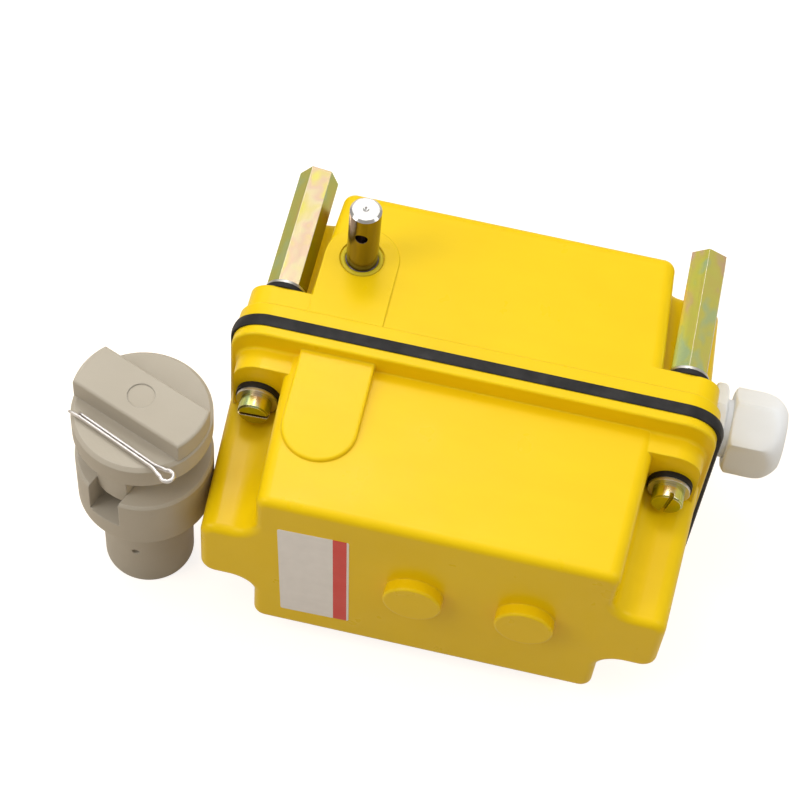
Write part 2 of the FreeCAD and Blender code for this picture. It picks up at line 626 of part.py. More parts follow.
def make_gears():
    pinion = new_body("input_pinion", "shaft_x", "shaft_y")
    add_gear(pinion, "pinion_teeth", "level_a - 0.5", "wheel_face + 1", TRAIN_ANGLES[0])
    collar(pinion, "collar_radius + 1.3", "level_a - 4", "level_a")
    bore(pinion, "pinion_seat + running / 2", "level_a - 5", "level_a + wheel_face + 2")

    low, high = "middle_plate_z + plate + 0.3", "upper_plate_z - 0.3"
    for number, (wheel, small) in enumerate((("level_a", "level_b"), ("level_b", "level_c")), start=1):
        x, y = CENTRE[number]
        idler = new_body("idler_gear_%d" % number, x, y)
        driven_from = TRAIN_ANGLES[number - 1] + 180
        add_gear(idler, "wheel_teeth", wheel, "wheel_face", gap_towards("wheel_teeth", driven_from))
        add_gear(idler, "pinion_teeth", small + " - 0.5", "%s - (%s - 0.5)" % (wheel, small),
                 TRAIN_ANGLES[number])
        collar(idler, "collar_radius", low, high)
        bore(idler, "pin_radius + running", low + " - 1", high + " + 1")

    pins = new_body("idler_pins")
    sketch = sketch_on(pins, "XY_Plane", "middle_plate_z")
    for x, y in CENTRE[1:3]:
        circle(sketch, x, y, "pin_radius")
    grow(pins, sketch, "upper_plate_z + plate - middle_plate_z", 1)

    x, y = CENTRE[3]
    cam_gear = new_body("cam_gear", x, y)
    add_gear(cam_gear, "wheel_teeth", "level_c", "wheel_face",
             gap_towards("wheel_teeth", TRAIN_ANGLES[2] + 180))
    bore(cam_gear, "cam_shaft + running / 2", "level_c - 1", "level_c + wheel_face + 1")


CAM_ANGLES = (96, 150, 205, 262)


def cam_height(number):
    """Underside of a cam, the first one on top."""
    return "(cam_top - cam_width - %d * cam_pitch)" % number


def make_cams():
    x, y = CENTRE[3]
    shaft = new_body("cam_shaft_spindle", x, y)
    turned(shaft, [("0", "lower_plate_z"), ("cam_shaft", "lower_plate_z"), ("cam_shaft", "cam_top"),
                   ("cam_shaft + 2", "cam_top"), ("cam_shaft + 2", "cam_top + 1"),
                   ("cam_shaft", "cam_top + 1"),
                   ("cam_shaft", "upper_plate_z + plate"), ("0", "upper_plate_z + plate")])
    for number, angle in enumerate(CAM_ANGLES):
        cam = new_body("cam_%d" % (number + 1), x, y, cam_height(number), angle)
        sketch = sketch_on(cam, "XY_Plane")
        lobe, round_part = size("cam_lobe"), size("cam_radius")
        ends = [polar(lobe, -28), polar(lobe, 28), polar(round_part, 50), polar(round_part, -50)]
        sketch.addGeometry(Part.Arc(ends[0], polar(lobe, 0), ends[1]))
        sketch.addGeometry(Part.LineSegment(ends[1], ends[2]))
        sketch.addGeometry(Part.Arc(ends[2], polar(round_part, 180), ends[3]))
        sketch.addGeometry(Part.LineSegment(ends[3], ends[0]))
        grow(cam, sketch, "cam_width", 1)
        bore(cam, "cam_shaft + running / 2", "-1", "cam_width + 1")

    spacers = new_body("cam_spacers", x, y)
    for number in range(len(CAM_ANGLES) - 1):
        sketch = sketch_on(spacers, "XY_Plane", cam_height(number + 1) + " + cam_width")
        circle(sketch, "0", "0", "2 * cam_shaft")
        circle(sketch, "0", "0", "cam_shaft + running / 2")
        grow(spacers, sketch, "cam_pitch - cam_width", 1)

    nut = new_body("cam_lock_nut", x, y)
    sketch = sketch_on(nut, "XY_Plane", cam_height(len(CAM_ANGLES) - 1))
    free_outline(sketch, polygon(6, size("cam_shaft * 1.9"), 10))
    circle(sketch, "0", "0", "cam_shaft + running / 2")
    grow(nut, sketch, "4.2", -1)

    bushes = new_body("cam_shaft_bushes", x, y)
    for height in ("lower_plate_z", "upper_plate_z"):
        sketch = sketch_on(bushes, "XY_Plane", height)
        circle(sketch, "0", "0", "collar_radius")
        circle(sketch, "0", "0", "cam_shaft + running")
        grow(bushes, sketch, "plate", 1)


def polar(radius, degrees):
    angle = math.radians(degrees)
    return FreeCAD.Vector(radius * math.cos(angle), radius * math.sin(angle), 0)


# Posts that hold the three plates apart, and the plates' common outline
POSTS = [("-44.5", "-59.5"), ("-20", "-20"), ("43", "-22"), ("-8", "-87")]
PLATE_LEFT, PLATE_RIGHT, MIDDLE_RIGHT = "-48.5", "48.5", "31"
PLATE_BACK = "(%s)" % WALL_BOSS
STEP_X, STEP_Y = "-15", "-66"
PLATE_FRONT = "-91"
PEGS = [("6", "-43"), ("36", "-43")]


def plate_outline(sketch, right):
    outline(sketch, [(PLATE_LEFT, PLATE_BACK), (PLATE_LEFT, STEP_Y), (STEP_X, STEP_Y),
                     (STEP_X, PLATE_FRONT), (right, PLATE_FRONT), (right, PLATE_BACK)])


def add_holes(body, z, places, radius):
    sketch = sketch_on(body, "XY_Plane", z)
    for x, y in places:
        circle(sketch, x, y, radius)
    cut(body, sketch, "plate", 1)


def bent_edge(body, z, height):
    """Edge of a plate bent up against the bosses of the back wall, with two screw holes."""
    edge = sketch_on(body, "XZ_Plane", PLATE_BACK)
    rectangle(edge, "-24", "46", z, "%s + %s" % (z, height))
    grow(body, edge, "plate", -1)


def make_frame():
    shaft = [("shaft_x", "shaft_y")]
    cam_axis = [CENTRE[3]]
    for label, z, right in (("upper_plate", "upper_plate_z", PLATE_RIGHT),
                            ("middle_plate", "middle_plate_z", MIDDLE_RIGHT),
                            ("lower_plate", "lower_plate_z", PLATE_RIGHT)):
        body = new_body(label)
        sketch = sketch_on(body, "XY_Plane", z)
        plate_outline(sketch, right)
        grow(body, sketch, "plate", 1)
        posts = [p for p in POSTS if size(p[0]) < size(right)]
        if label != "middle_plate":
            bent_edge(body, z, "14")
            add_holes(body, z, posts, "frame_screw + running")
            add_holes(body, z, cam_axis, "collar_radius + running / 2")
            holes = sketch_on(body, "XZ_Plane", PLATE_BACK)
            for x, hole_z in WALL_SCREWS:
                if (size(hole_z) > 0) == (size(z) > 0):
                    circle(holes, x, hole_z, "frame_screw + running")
            cut(body, holes, "plate", -1)
        else:
            add_holes(body, z, posts, "frame_screw + running")
            add_holes(body, z, cam_axis, "cam_shaft + 0.6")
        if label == "lower_plate":
            add_holes(body, z, shaft, "collar_radius + running / 2")
            add_holes(body, z, SWITCH_BOLTS, "1.2")
        else:
            add_holes(body, z, shaft, "shaft_radius + 1.5")
            add_holes(body, z, CENTRE[1:3], "pin_radius + running / 2")
        if label == "upper_plate":
            add_holes(body, z, PEGS, "1.54")

    posts = new_body("frame_posts")
    lower_top = "lower_plate_z + plate"
    for x, y in POSTS:
        stages = [(lower_top, "upper_plate_z")]
        if size(x) < size(MIDDLE_RIGHT):
            stages = [(lower_top, "middle_plate_z"), ("middle_plate_z + plate", "upper_plate_z")]
        for low, high in stages:
            sketch = sketch_on(posts, "XY_Plane", low)
            circle(sketch, x, y, "post_radius")
            grow(posts, sketch, "%s - (%s)" % (high, low), 1)
    for x, y in POSTS:
        for mouth, way in (("upper_plate_z", -1), (lower_top, 1)):
            sketch = sketch_on(posts, "XY_Plane", mouth)
            circle(sketch, x, y, "frame_screw + running")
            cut(posts, sketch, "frame_reach", way)
    joints = [p for p in POSTS if size(p[0]) < size(MIDDLE_RIGHT)]
    for height, way in (("middle_plate_z", -1), ("middle_plate_z + plate", 1)):
        sketch = sketch_on(posts, "XY_Plane", height)
        for x, y in joints:
            circle(sketch, x, y, "frame_screw + running")
        cut(posts, sketch, "5", way)

    studs = new_body("post_studs")
    sketch = sketch_on(studs, "XY_Plane", "middle_plate_z - 4.5")
    for x, y in joints:
        circle(sketch, x, y, "frame_screw")
    grow(studs, sketch, "plate + 9", 1)

    screws = new_body("frame_screws")
    for face, way in (("upper_plate_z + plate", 1), ("lower_plate_z", -1)):
        add_screws(screws, "XY_Plane", face, way, POSTS)
    add_screws(screws, "XZ_Plane", PLATE_BACK + " - plate", -1, WALL_SCREWS)


def add_screws(body, role, face, way, places):
    """Screws with their heads on a face, the heads standing out along way."""
    for radius, length, direction in (("frame_head", "frame_head_height", way),
                                      ("frame_screw", "frame_reach - plate / 2", -way)):
        sketch = sketch_on(body, role, face)
        for x, y in places:
            circle(sketch, x, y, radius)
        grow(body, sketch, length, direction)


# Switch stack beside the cams: the switches' middle line is the cam shaft's
SWITCH_Y = "(%.6f)" % CENTRE[3][1]
PIVOT_Y = "(%s - 9.6)" % SWITCH_Y
PLUNGER_Y = "(%s + 5)" % PIVOT_Y
SWITCH_BOLTS = [("switch_x + 7", "%s - 8" % SWITCH_Y), ("switch_x + 7", "%s + 5" % SWITCH_Y)]


def make_switches():
    tabs = new_body("switch_terminals")
    for number in range(len(CAM_ANGLES)):
        middle_z = "(%s + cam_width / 2)" % cam_height(number)
        make_switch(number + 1, middle_z)
        make_lever(number + 1, middle_z)
        plunger = new_body("switch_plunger_%d" % (number + 1))
        sketch = sketch_on(plunger, "YZ_Plane", "switch_x - 1.3")
        circle(sketch, PLUNGER_Y, middle_z, "plunger_radius")
        grow(plunger, sketch, "4", 1)
        blades = sketch_on(tabs, "XY_Plane", middle_z + " - 1.5")
        for offset in ("- 9", "- 1.5", "+ 7"):
            rectangle(blades, "switch_x + switch_depth", "switch_x + switch_depth + 4",
                      "%s %s" % (SWITCH_Y, offset), "%s %s + 0.7" % (SWITCH_Y, offset))
        grow(tabs, blades, "3", 1)

    lowest = "(%s + cam_width / 2 - switch_width / 2)" % cam_height(len(CAM_ANGLES) - 1)
    highest = "(%s + cam_width / 2 + switch_width / 2)" % cam_height(0)
    spacers = new_body("switch_spacers")
    sketch = sketch_on(spacers, "XY_Plane", "lower_plate_z + plate")
    for x, y in SWITCH_BOLTS:
        circle(sketch, x, y, "2.4")
        circle(sketch, x, y, "1.25")
    grow(spacers, sketch, "%s - lower_plate_z - plate" % lowest, 1)
    bolts = new_body("switch_bolts")
    for radius, low, high in (("1.1", "lower_plate_z", highest + " + 2.6"),
                              ("2.1", "lower_plate_z - 1.4", "lower_plate_z")):
        sketch = sketch_on(bolts, "XY_Plane", low)
        for x, y in SWITCH_BOLTS:
            circle(sketch, x, y, radius)
        grow(bolts, sketch, "%s - (%s)" % (high, low), 1)
    nuts = new_body("switch_nuts")
    sketch = sketch_on(nuts, "XY_Plane", highest)
    for x, y in SWITCH_BOLTS:
        free_outline(sketch, polygon(6, 2.5, 0, size(x), size(y)))
        circle(sketch, x, y, "1.12")
    grow(nuts, sketch, "1.9", 1)


def make_switch(number, middle_z):
    body = new_body("micro_switch_%d" % number)
    case = sketch_on(body, "XY_Plane", middle_z + " - switch_width / 2")
    low, high = "(%s - 11.5)" % SWITCH_Y, "(%s - 11.5 + switch_length)" % SWITCH_Y
    far = "switch_x + switch_depth"
    outline(case, [("switch_x", low), ("%s - 2" % far, low), (far, low + " + 2"), (far, high + " - 2"),
                   ("%s - 2" % far, high), ("switch_x", high)])
    grow(body, case, "switch_width", 1)
    for way in (1, -1):
        ear = sketch_on(body, "XY_Plane", "%s + %d * (lever_width / 2 + 0.2)" % (middle_z, way))
        rectangle(ear, "pivot_x - 1", "switch_x + 1", PIVOT_Y + " - 1", PIVOT_Y + " + 1")
        grow(body, ear, "1", way)
    pin = sketch_on(body, "XY_Plane", middle_z + " - lever_width / 2 - 0.5")
    circle(pin, "pivot_x", PIVOT_Y, "pivot_pin")
    grow(body, pin, "lever_width + 1", 1)
    well = sketch_on(body, "YZ_Plane", "switch_x")
    circle(well, PLUNGER_Y, middle_z, "plunger_radius + 0.06")
    cut(body, well, "4.5", 1)
    holes = sketch_on(body, "XY_Plane", middle_z + " - switch_width / 2")
    for x, y in SWITCH_BOLTS:
        circle(holes, x, y, "1.2")
    cut(body, holes, "switch_width", 1)


def make_lever(number, middle_z):
    """Spring-steel lever with a pressed bump that meets the cam, hinged on the switch's pin."""
    body = new_body("switch_lever_%d" % number)
    x, y = "pivot_x", PIVOT_Y
    strip = sketch_on(body, "XY_Plane", middle_z + " - lever_width / 2")
    cam_y = SWITCH_Y
    outline(strip, [(x + " + 0.35", y + " + 0.4"), (x + " - 1.1", y + " + 17"), (x + " - 1.7", y + " + 17"),
                    (x + " - 1.4", cam_y + " + 2.4"), (x + " - 3", cam_y + " + 0.6"),
                    (x + " - 3", cam_y + " - 0.6"), (x + " - 1.1", cam_y + " - 2.4"),
                    (x + " - 0.3", y + " + 0.4")])
    grow(body, strip, "lever_width", 1)
    eye = sketch_on(body, "XY_Plane", middle_z + " - lever_width / 2")
    circle(eye, x, y, "pivot_pin + 0.5")
    grow(body, eye, "lever_width", 1)
    hole = sketch_on(body, "XY_Plane", middle_z + " - lever_width / 2")
    circle(hole, x, y, "pivot_pin + 0.05")
    cut(body, hole, "lever_width", 1)


TERMINAL_LEFT, TERMINAL_RIGHT = "-2", "44"
TERMINAL_FRONT, TERMINAL_BACK = "-50", "-36"
TERMINALS = 8


def make_terminals():
    body = new_body("terminal_strip")
    top = "upper_plate_z + plate"
    block = sketch_on(body, "XY_Plane", top)
    rectangle(block, TERMINAL_LEFT, TERMINAL_RIGHT, TERMINAL_FRONT, TERMINAL_BACK)
    grow(body, block, "12", 1)
    pegs = sketch_on(body, "XY_Plane", top)
    for x, y in PEGS:
        circle(pegs, x, y, "1.5")
    grow(body, pegs, "plate", -1)
    pitch = (size(TERMINAL_RIGHT) - size(TERMINAL_LEFT)) / TERMINALS
    centres = [size(TERMINAL_LEFT) + (i + 0.5) * pitch for i in range(TERMINALS)]
    wells = sketch_on(body, "XZ_Plane", TERMINAL_FRONT)
    for x in centres:
        box_about(wells, "%.4f" % x, top + " + 6", "2.2", "4.2")
    cut(body, wells, "4", 1)
    taps = sketch_on(body, "XZ_Plane", TERMINAL_FRONT)
    for x in centres:
        circle(taps, "%.4f" % x, top + " + 6", "1.1")
    cut(body, taps, "9", 1)

    screws = new_body("terminal_screws")
    for radius, length, way in (("2", "1.6", -1), ("1.05", "4.5", 1)):
        sketch = sketch_on(screws, "XZ_Plane", TERMINAL_FRONT + " + 4")
        for x in centres:
            circle(sketch, "%.4f" % x, top + " + 6", radius)
        grow(screws, sketch, length, way)


def along_x(label):
    """A body whose own Z axis lies along +X, on the gland's line."""
    body = doc.addObject("PartDesign::Body", label)
    body.Label = label
    place = FreeCAD.Vector(0, size("gland_y"), 0)
    body.Placement = FreeCAD.Placement(place, FreeCAD.Rotation(FreeCAD.Vector(0, 1, 0), 90))
    SUBPARTS.append(body)
    return body


def hexagon(body, z, length, flats, way=1, turn=0):
    sketch = sketch_on(body, "XY_Plane", z)
    free_outline(sketch, polygon(6, size(flats) / 2 / math.cos(math.radians(30)), turn))
    grow(body, sketch, length, way)


# Planes of the gland along X, from the base's pad outwards
COLLAR_FOOT = "(gland_face + gland_washer)"
COLLAR_END = "(%s + gland_collar)" % COLLAR_FOOT
NUT_FOOT = "(%s + gland_neck)" % COLLAR_END
NUT_END = "(%s + gland_nut)" % NUT_FOOT
DOME_END = "(%s + gland_dome)" % NUT_END
NECK_END = "(%s - 2)" % NUT_END
GLAND_INSIDE = "(gland_face - gland_wall)"


def make_gland():
    body = along_x("gland_body")
    thread_end = "(%s - locknut_depth - 1.5)" % GLAND_INSIDE
    collar(body, "gland_thread", thread_end, COLLAR_FOOT + " + 0.5")
    hexagon(body, COLLAR_FOOT, "gland_collar", "gland_flats", turn=12)
    collar(body, "gland_thread - 0.5", COLLAR_END, NECK_END)
    bore(body, "gland_bore", thread_end, "seal_foot")
    bore(body, "gland_bore + 1", "seal_foot - running", NECK_END)

    washer = along_x("gland_washer")
    collar(washer, "gland_flats / 2 - 0.6", "gland_face", COLLAR_FOOT)
    bore(washer, "gland_thread + running", "gland_face", COLLAR_FOOT)

    locknut = along_x("gland_locknut")
    hexagon(locknut, GLAND_INSIDE, "locknut_depth", "gland_flats", way=-1, turn=20)
    bore(locknut, "gland_thread + running", GLAND_INSIDE + " - locknut_depth", GLAND_INSIDE)

    nut = along_x("gland_nut")
    hexagon(nut, NUT_FOOT, "gland_nut", "gland_flats", turn=20)
    add_dome(nut)
    bore(nut, "gland_thread - 0.5 + running", NUT_FOOT, NECK_END + " + running")
    bore(nut, "gland_bore + 1", NECK_END, "seal_end + running")
    bore(nut, "cable_radius + 1", "seal_end", DOME_END)

    seal = along_x("gland_seal")
    collar(seal, "gland_bore + 1 - running", "seal_foot", "seal_end")
    bore(seal, "cable_radius", "seal_foot", "seal_end")


def add_dome(nut):
    """Rounded end of the gland's nut, from the flats' width in to a flat mouth."""
    start, end = size(NUT_END), size(DOME_END)
    rim, mouth = size("gland_flats / 2"), size("dome_mouth")
    foot = FreeCAD.Vector(0, start - 1, 0)
    edge = FreeCAD.Vector(rim, start - 1, 0)
    shoulder = FreeCAD.Vector(rim, start, 0)
    lip = FreeCAD.Vector(mouth, end, 0)
    top = FreeCAD.Vector(0, end, 0)
    swell = (shoulder + lip) / 2 + FreeCAD.Vector(1.1, 0.8, 0)
    dome = sketch_on(nut, "XZ_Plane")
    for first, last in ((foot, edge), (edge, shoulder), (lip, top), (top, foot)):
        dome.addGeometry(Part.LineSegment(first, last))
    dome.addGeometry(Part.Arc(shoulder, swell, lip))
    revolve(nut, dome)


def coupling_body(label, turn):
    return new_body(label, "coupling_x", "coupling_y", FLOOR, size(turn))


def make_coupling():
    hub = coupling_body("coupling_hub", "coupling_turn + hub_turn")
    cup_foot, cup_top = "hub_height", "(hub_height + cup_height)"
    bore_radius, bore_end = "shaft_radius + 0.05", "hub_height - 3"
    turned(hub, [(bore_radius, "0"), ("hub_radius - 0.6", "0"), ("hub_radius", "0.6"),
                 ("hub_radius", cup_foot), ("coupling_radius - 1", cup_foot),
                 ("coupling_radius", cup_foot + " + 1"), ("coupling_radius", cup_top + " - 0.8"),
                 ("coupling_radius - 0.8", cup_top), ("0", cup_top), ("0", bore_end),
                 (bore_radius, bore_end)])
    slot = sketch_on(hub, "XY_Plane", cup_top)
    turned_slot(slot, 0, 0, 90 - size("hub_turn"), "coupling_radius + 1", "tongue_width / 2 + running")
    cut(hub, slot, "cup_height - slot_floor", -1)
    pin_hole = sketch_on(hub, "XZ_Plane", "hub_radius + 1")
    circle(pin_hole, "0", "hub_height / 2", "pin_wire + 0.25")
    cut(hub, pin_hole, "2 * hub_radius + 2", -1)

    disc = coupling_body("coupling_disc", "coupling_turn")
    foot = "(hub_height + cup_height + disc_gap)"
    top = "(%s + disc_height)" % foot
    turned(disc, [("0", foot), ("coupling_radius - 1.2", foot), ("coupling_radius", foot + " + 1.2"),
                  ("coupling_radius", top + " - 1.2"), ("coupling_radius - 1.2", top), ("0", top)])
    bar = sketch_on(disc, "XY_Plane", top)
    rounded_bar(bar, "bar_width", "coupling_radius - 0.3", True)
    grow(disc, bar, "bar_height", 1)
    bevel(disc, "1", in_plane("z", top + " + bar_height"))
    tongue = sketch_on(disc, "XY_Plane", foot)
    rounded_bar(tongue, "tongue_width", "tongue_reach", False)
    grow(disc, tongue, "disc_gap + tongue_depth", -1)
    mark = sketch_on(disc, "XY_Plane", top + " + bar_height")
    circle(mark, "0", "0", "4.2")
    cut(disc, mark, "0.4", -1)


def rounded_bar(sketch, width, reach, along_first_axis):
    """Bar across the disc whose two ends follow a circle about the disc's axis."""
    radius, half = size(reach), size(width) / 2
    straight = math.sqrt(radius ** 2 - half ** 2)
    points = [(straight, -half), (straight, half), (-straight, half), (-straight, -half)]
    tips = [(radius, 0), (-radius, 0)]
    if not along_first_axis:
        points = [(y, x) for x, y in points]
        tips = [(y, x) for x, y in tips]
    vectors = [FreeCAD.Vector(x, y, 0) for x, y in points]
    bulges = [FreeCAD.Vector(x, y, 0) for x, y in tips]
    sketch.addGeometry(Part.Arc(vectors[0], bulges[0], vectors[1]))
    sketch.addGeometry(Part.LineSegment(vectors[1], vectors[2]))
    sketch.addGeometry(Part.Arc(vectors[2], bulges[1], vectors[3]))
    sketch.addGeometry(Part.LineSegment(vectors[3], vectors[0]))


def make_cotter_pin():
    """Split pin lying on the disc: two half-round legs side by side and a round eye."""
    rest = "%s + hub_height + cup_height + disc_gap + disc_height + pin_wire + running" % FLOOR
    body = new_body("cotter_pin", "pin_eye_x", "pin_eye_y", rest, size("pin_turn"))
    eye = sketch_on(body, "XZ_Plane")
    circle(eye, "eye_radius", "0", "eye_wire")
    revolve(body, eye)
    legs = sketch_on(body, "YZ_Plane", "-eye_radius")
    circle(legs, "0", "0", "pin_wire")
    grow(body, legs, "pin_length - eye_radius", -1)
    split = sketch_on(body, "XY_Plane", "-pin_wire - 1")
    rectangle(split, "-pin_length - 1", "-eye_radius - 3", "-0.08", "0.08")
    cut(body, split, "2 * pin_wire + 2", 1)


make_base()
make_cover()
make_gasket()
make_fastenings()
make_input_shaft()
make_gears()
make_cams()
make_frame()
make_switches()
make_terminals()
make_gland()
make_coupling()
make_cotter_pin()

doc.recompute()
for obj in doc.Objects:
    if "Invalid" in obj.State or "Error" in obj.State:
        raise RuntimeError("failed: %s %s" % (obj.Label, obj.State))
os.makedirs("parts", exist_ok=True)
for part in SUBPARTS:
    if part.Shape.isNull() or not part.Shape.isValid():
        raise RuntimeError("bad shape: " + part.Label)
    part.Shape.exportStep("parts/%s.step" % part.Label)
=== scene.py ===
"""Looks of the crane limit switch and its loose coupling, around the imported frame. Metres, +Z up."""
import json
import math

import bmesh
import bpy
from mathutils import Matrix, Vector


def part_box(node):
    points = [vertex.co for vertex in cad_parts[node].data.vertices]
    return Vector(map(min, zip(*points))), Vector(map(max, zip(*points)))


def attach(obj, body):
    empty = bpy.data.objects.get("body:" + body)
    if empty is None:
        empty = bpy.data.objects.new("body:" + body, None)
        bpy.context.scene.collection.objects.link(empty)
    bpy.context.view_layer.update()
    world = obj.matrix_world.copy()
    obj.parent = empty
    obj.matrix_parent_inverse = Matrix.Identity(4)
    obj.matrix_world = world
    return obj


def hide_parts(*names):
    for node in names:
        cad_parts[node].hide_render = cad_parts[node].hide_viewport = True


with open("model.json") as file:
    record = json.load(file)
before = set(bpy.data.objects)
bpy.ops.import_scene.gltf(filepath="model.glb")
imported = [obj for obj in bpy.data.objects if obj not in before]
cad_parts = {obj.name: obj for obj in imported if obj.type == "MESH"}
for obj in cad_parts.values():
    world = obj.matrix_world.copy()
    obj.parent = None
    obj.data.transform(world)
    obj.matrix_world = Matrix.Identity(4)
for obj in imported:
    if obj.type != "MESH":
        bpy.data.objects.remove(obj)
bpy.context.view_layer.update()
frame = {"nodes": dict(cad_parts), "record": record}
nodes = frame["nodes"]

MM = 0.001
FLOOR_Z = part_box("coupling_hub")[0].z
ALONG_X = Vector((1.0, 0.0, 0.0))
UPWARDS = Vector((0.0, 0.0, 1.0))

# Camera: where it stands and how it is turned, as its right and up directions
IMAGE_SIZE = 801
FOCAL_PIXELS = 2296.7
SENSOR_MM = 36.0
CAMERA_PLACE = Vector((0.02195, -0.44897, 0.62895))
CAMERA_RIGHT = Vector((0.9757, 0.2102, 0.0621))
CAMERA_UP = Vector((-0.2105, 0.8200, 0.5322))
CAMERA_NEAR = 0.01


def add_camera():
    right = CAMERA_RIGHT.normalized()
    back = right.cross(CAMERA_UP).normalized()
    up = back.cross(right)
    data = bpy.data.cameras.new("camera")
    data.sensor_width = SENSOR_MM
    data.sensor_fit = "HORIZONTAL"
    data.lens = SENSOR_MM * FOCAL_PIXELS / IMAGE_SIZE
    data.clip_start = CAMERA_NEAR
    camera = bpy.data.objects.new("camera", data)
    turn = Matrix((right, up, back)).transposed().to_4x4()
    camera.matrix_world = Matrix.Translation(CAMERA_PLACE) @ turn
    bpy.context.scene.collection.objects.link(camera)
    bpy.context.scene.camera = camera


# Sockets of a Mix node set to colours, which share their names with its other kinds
MIX_FIRST_COLOUR, MIX_SECOND_COLOUR, MIX_COLOUR_RESULT = 6, 7, 2
# Nearly all values of a noise lie between these
NOISE_LOW, NOISE_HIGH = 0.3, 0.7
BEVEL_SAMPLES = 4
# Cosine between the true and the rounded normal: below the first it is an edge, above the second a flat
EDGE_BELOW, FLAT_ABOVE = 0.97, 0.995


class Shader:
    """Builds one node material step by step."""

    def __init__(self, name):
        self.material = bpy.data.materials.new(name)
        self.material.use_nodes = True
        self.nodes = self.material.node_tree.nodes
        self.links = self.material.node_tree.links
        self.surface = self.nodes["Principled BSDF"]
        coordinates = self.nodes.new("ShaderNodeTexCoord")
        self.place = coordinates.outputs["Object"]
        self.facing = coordinates.outputs["Normal"]

    def set(self, **sockets):
        for name, value in sockets.items():
            self.surface.inputs[name.replace("_", " ")].default_value = value

    def link(self, output, name):
        self.links.new(output, self.surface.inputs[name])

    def stretched(self, scale):
        mapping = self.nodes.new("ShaderNodeMapping")
        mapping.inputs["Scale"].default_value = scale
        self.links.new(self.place, mapping.inputs["Vector"])
        return mapping.outputs["Vector"]

    def noise(self, scale, detail=3.0, roughness=0.55, stretch=None):
        node = self.nodes.new("ShaderNodeTexNoise")
        node.inputs["Scale"].default_value = scale
        node.inputs["Detail"].default_value = detail
        node.inputs["Roughness"].default_value = roughness
        self.links.new(self.stretched(stretch) if stretch else self.place, node.inputs["Vector"])
        return node.outputs["Fac"]

    def feed(self, socket, value):
        """Links an output to a socket, or sets a number, a vector or a colour on it."""
        if isinstance(value, bpy.types.NodeSocket):
            self.links.new(value, socket)
        elif isinstance(value, tuple):
            socket.default_value = (*value, 1.0)
        else:
            socket.default_value = value

    def along(self, vector, axis):
        """How far a vector points along an axis."""
        node = self.nodes.new("ShaderNodeVectorMath")
        node.operation = "DOT_PRODUCT"
        self.feed(node.inputs[0], vector)
        self.feed(node.inputs[1], axis)
        return node.outputs["Value"]

    def math(self, operation, first, second):
        node = self.nodes.new("ShaderNodeMath")
        node.operation = operation
        self.feed(node.inputs[0], first)
        self.feed(node.inputs[1], second)
        return node.outputs[0]

    def ramp(self, value, stops, steps=False):
        """Colours or greys along a value from 0 to 1, in steps or smoothly."""
        node = self.nodes.new("ShaderNodeValToRGB")
        band = node.color_ramp
        if steps:
            band.interpolation = "CONSTANT"
        while len(band.elements) < len(stops):
            band.elements.new(0.5)
        for element, (position, colour) in zip(band.elements, stops):
            element.position = position
            shade = colour if isinstance(colour, tuple) else (colour, colour, colour)
            element.color = (*shade, 1.0)
        self.links.new(value, node.inputs["Fac"])
        return node.outputs["Color"]

    def spread(self, noise, low, high):
        """Colours or greys from low to high over the values that a noise takes."""
        return self.ramp(noise, [(NOISE_LOW, low), (NOISE_HIGH, high)])

    def mix(self, factor, first, second, blend="MIX"):
        node = self.nodes.new("ShaderNodeMix")
        node.data_type = "RGBA"
        node.blend_type = blend
        self.feed(node.inputs["Factor"], factor)
        self.feed(node.inputs[MIX_FIRST_COLOUR], first)
        self.feed(node.inputs[MIX_SECOND_COLOUR], second)
        return node.outputs[MIX_COLOUR_RESULT]

    def soft_normal(self, radius):
        node = self.nodes.new("ShaderNodeBevel")
        node.samples = BEVEL_SAMPLES
        node.inputs["Radius"].default_value = radius
        return node.outputs["Normal"]

    def edges(self, radius):
        """1 along the edges, 0 on the flats: where a rounded normal leaves the true one."""
        true = self.nodes.new("ShaderNodeNewGeometry").outputs["True Normal"]
        agreement = self.along(true, self.soft_normal(radius))
        return self.ramp(agreement, [(EDGE_BELOW, 1.0), (FLAT_ABOVE, 0.0)])

    def bump(self, height, strength, distance, rounding=0.0):
        """Bump from a height; rounding softens the edges by that radius first."""
        node = self.nodes.new("ShaderNodeBump")
        node.inputs["Strength"].default_value = strength
        node.inputs["Distance"].default_value = distance
        self.links.new(height, node.inputs["Height"])
        if rounding:
            self.links.new(self.soft_normal(rounding), node.inputs["Normal"])
        self.link(node.outputs["Normal"], "Normal")


# Moulded plastics: noise scales per metre, how flow marks darken the colour, and the depth of the skin
DRIFT_SCALE, FLOW_SCALE, EDGE_HIGHLIGHT_SCALE, SHEEN_SCALE, SKIN_SCALE = 24.0, 30.0, 260.0, 90.0, 1400.0
FLOW_STRETCH = (1.0, 3.0, 1.0)
FLOW_SHADES = [(0.35, 0.97), (0.65, 1.0)]
SKIN_DEPTH = 0.1 * MM


def moulded(name, colour, deep, rough, grain, rounding, edge=None, gloss=0.5):
    """Moulded plastic: faint colour drift and flow marks, a fine skin, a painted highlight along the soft
    edges, broken up by noise.
    """
    shader = Shader(name)
    drift = shader.spread(shader.noise(DRIFT_SCALE, detail=4.0), deep, colour)
    flow = shader.ramp(shader.noise(FLOW_SCALE, stretch=FLOW_STRETCH), FLOW_SHADES)
    tone = shader.mix(1.0, drift, flow, "MULTIPLY")
    # Painted highlight: the edges, broken up by noise, turn towards the given colour
    if edge:
        painted_edge_highlight = shader.math("MULTIPLY", shader.edges(rounding), shader.noise(EDGE_HIGHLIGHT_SCALE, detail=2.0))
        tone = shader.mix(painted_edge_highlight, tone, edge)
    shader.link(tone, "Base Color")
    shader.link(shader.spread(shader.noise(SHEEN_SCALE), *rough), "Roughness")
    shader.bump(shader.noise(SKIN_SCALE, detail=1.0), grain, SKIN_DEPTH, rounding)
    shader.set(Specular_IOR_Level=gloss)
    return shader.material


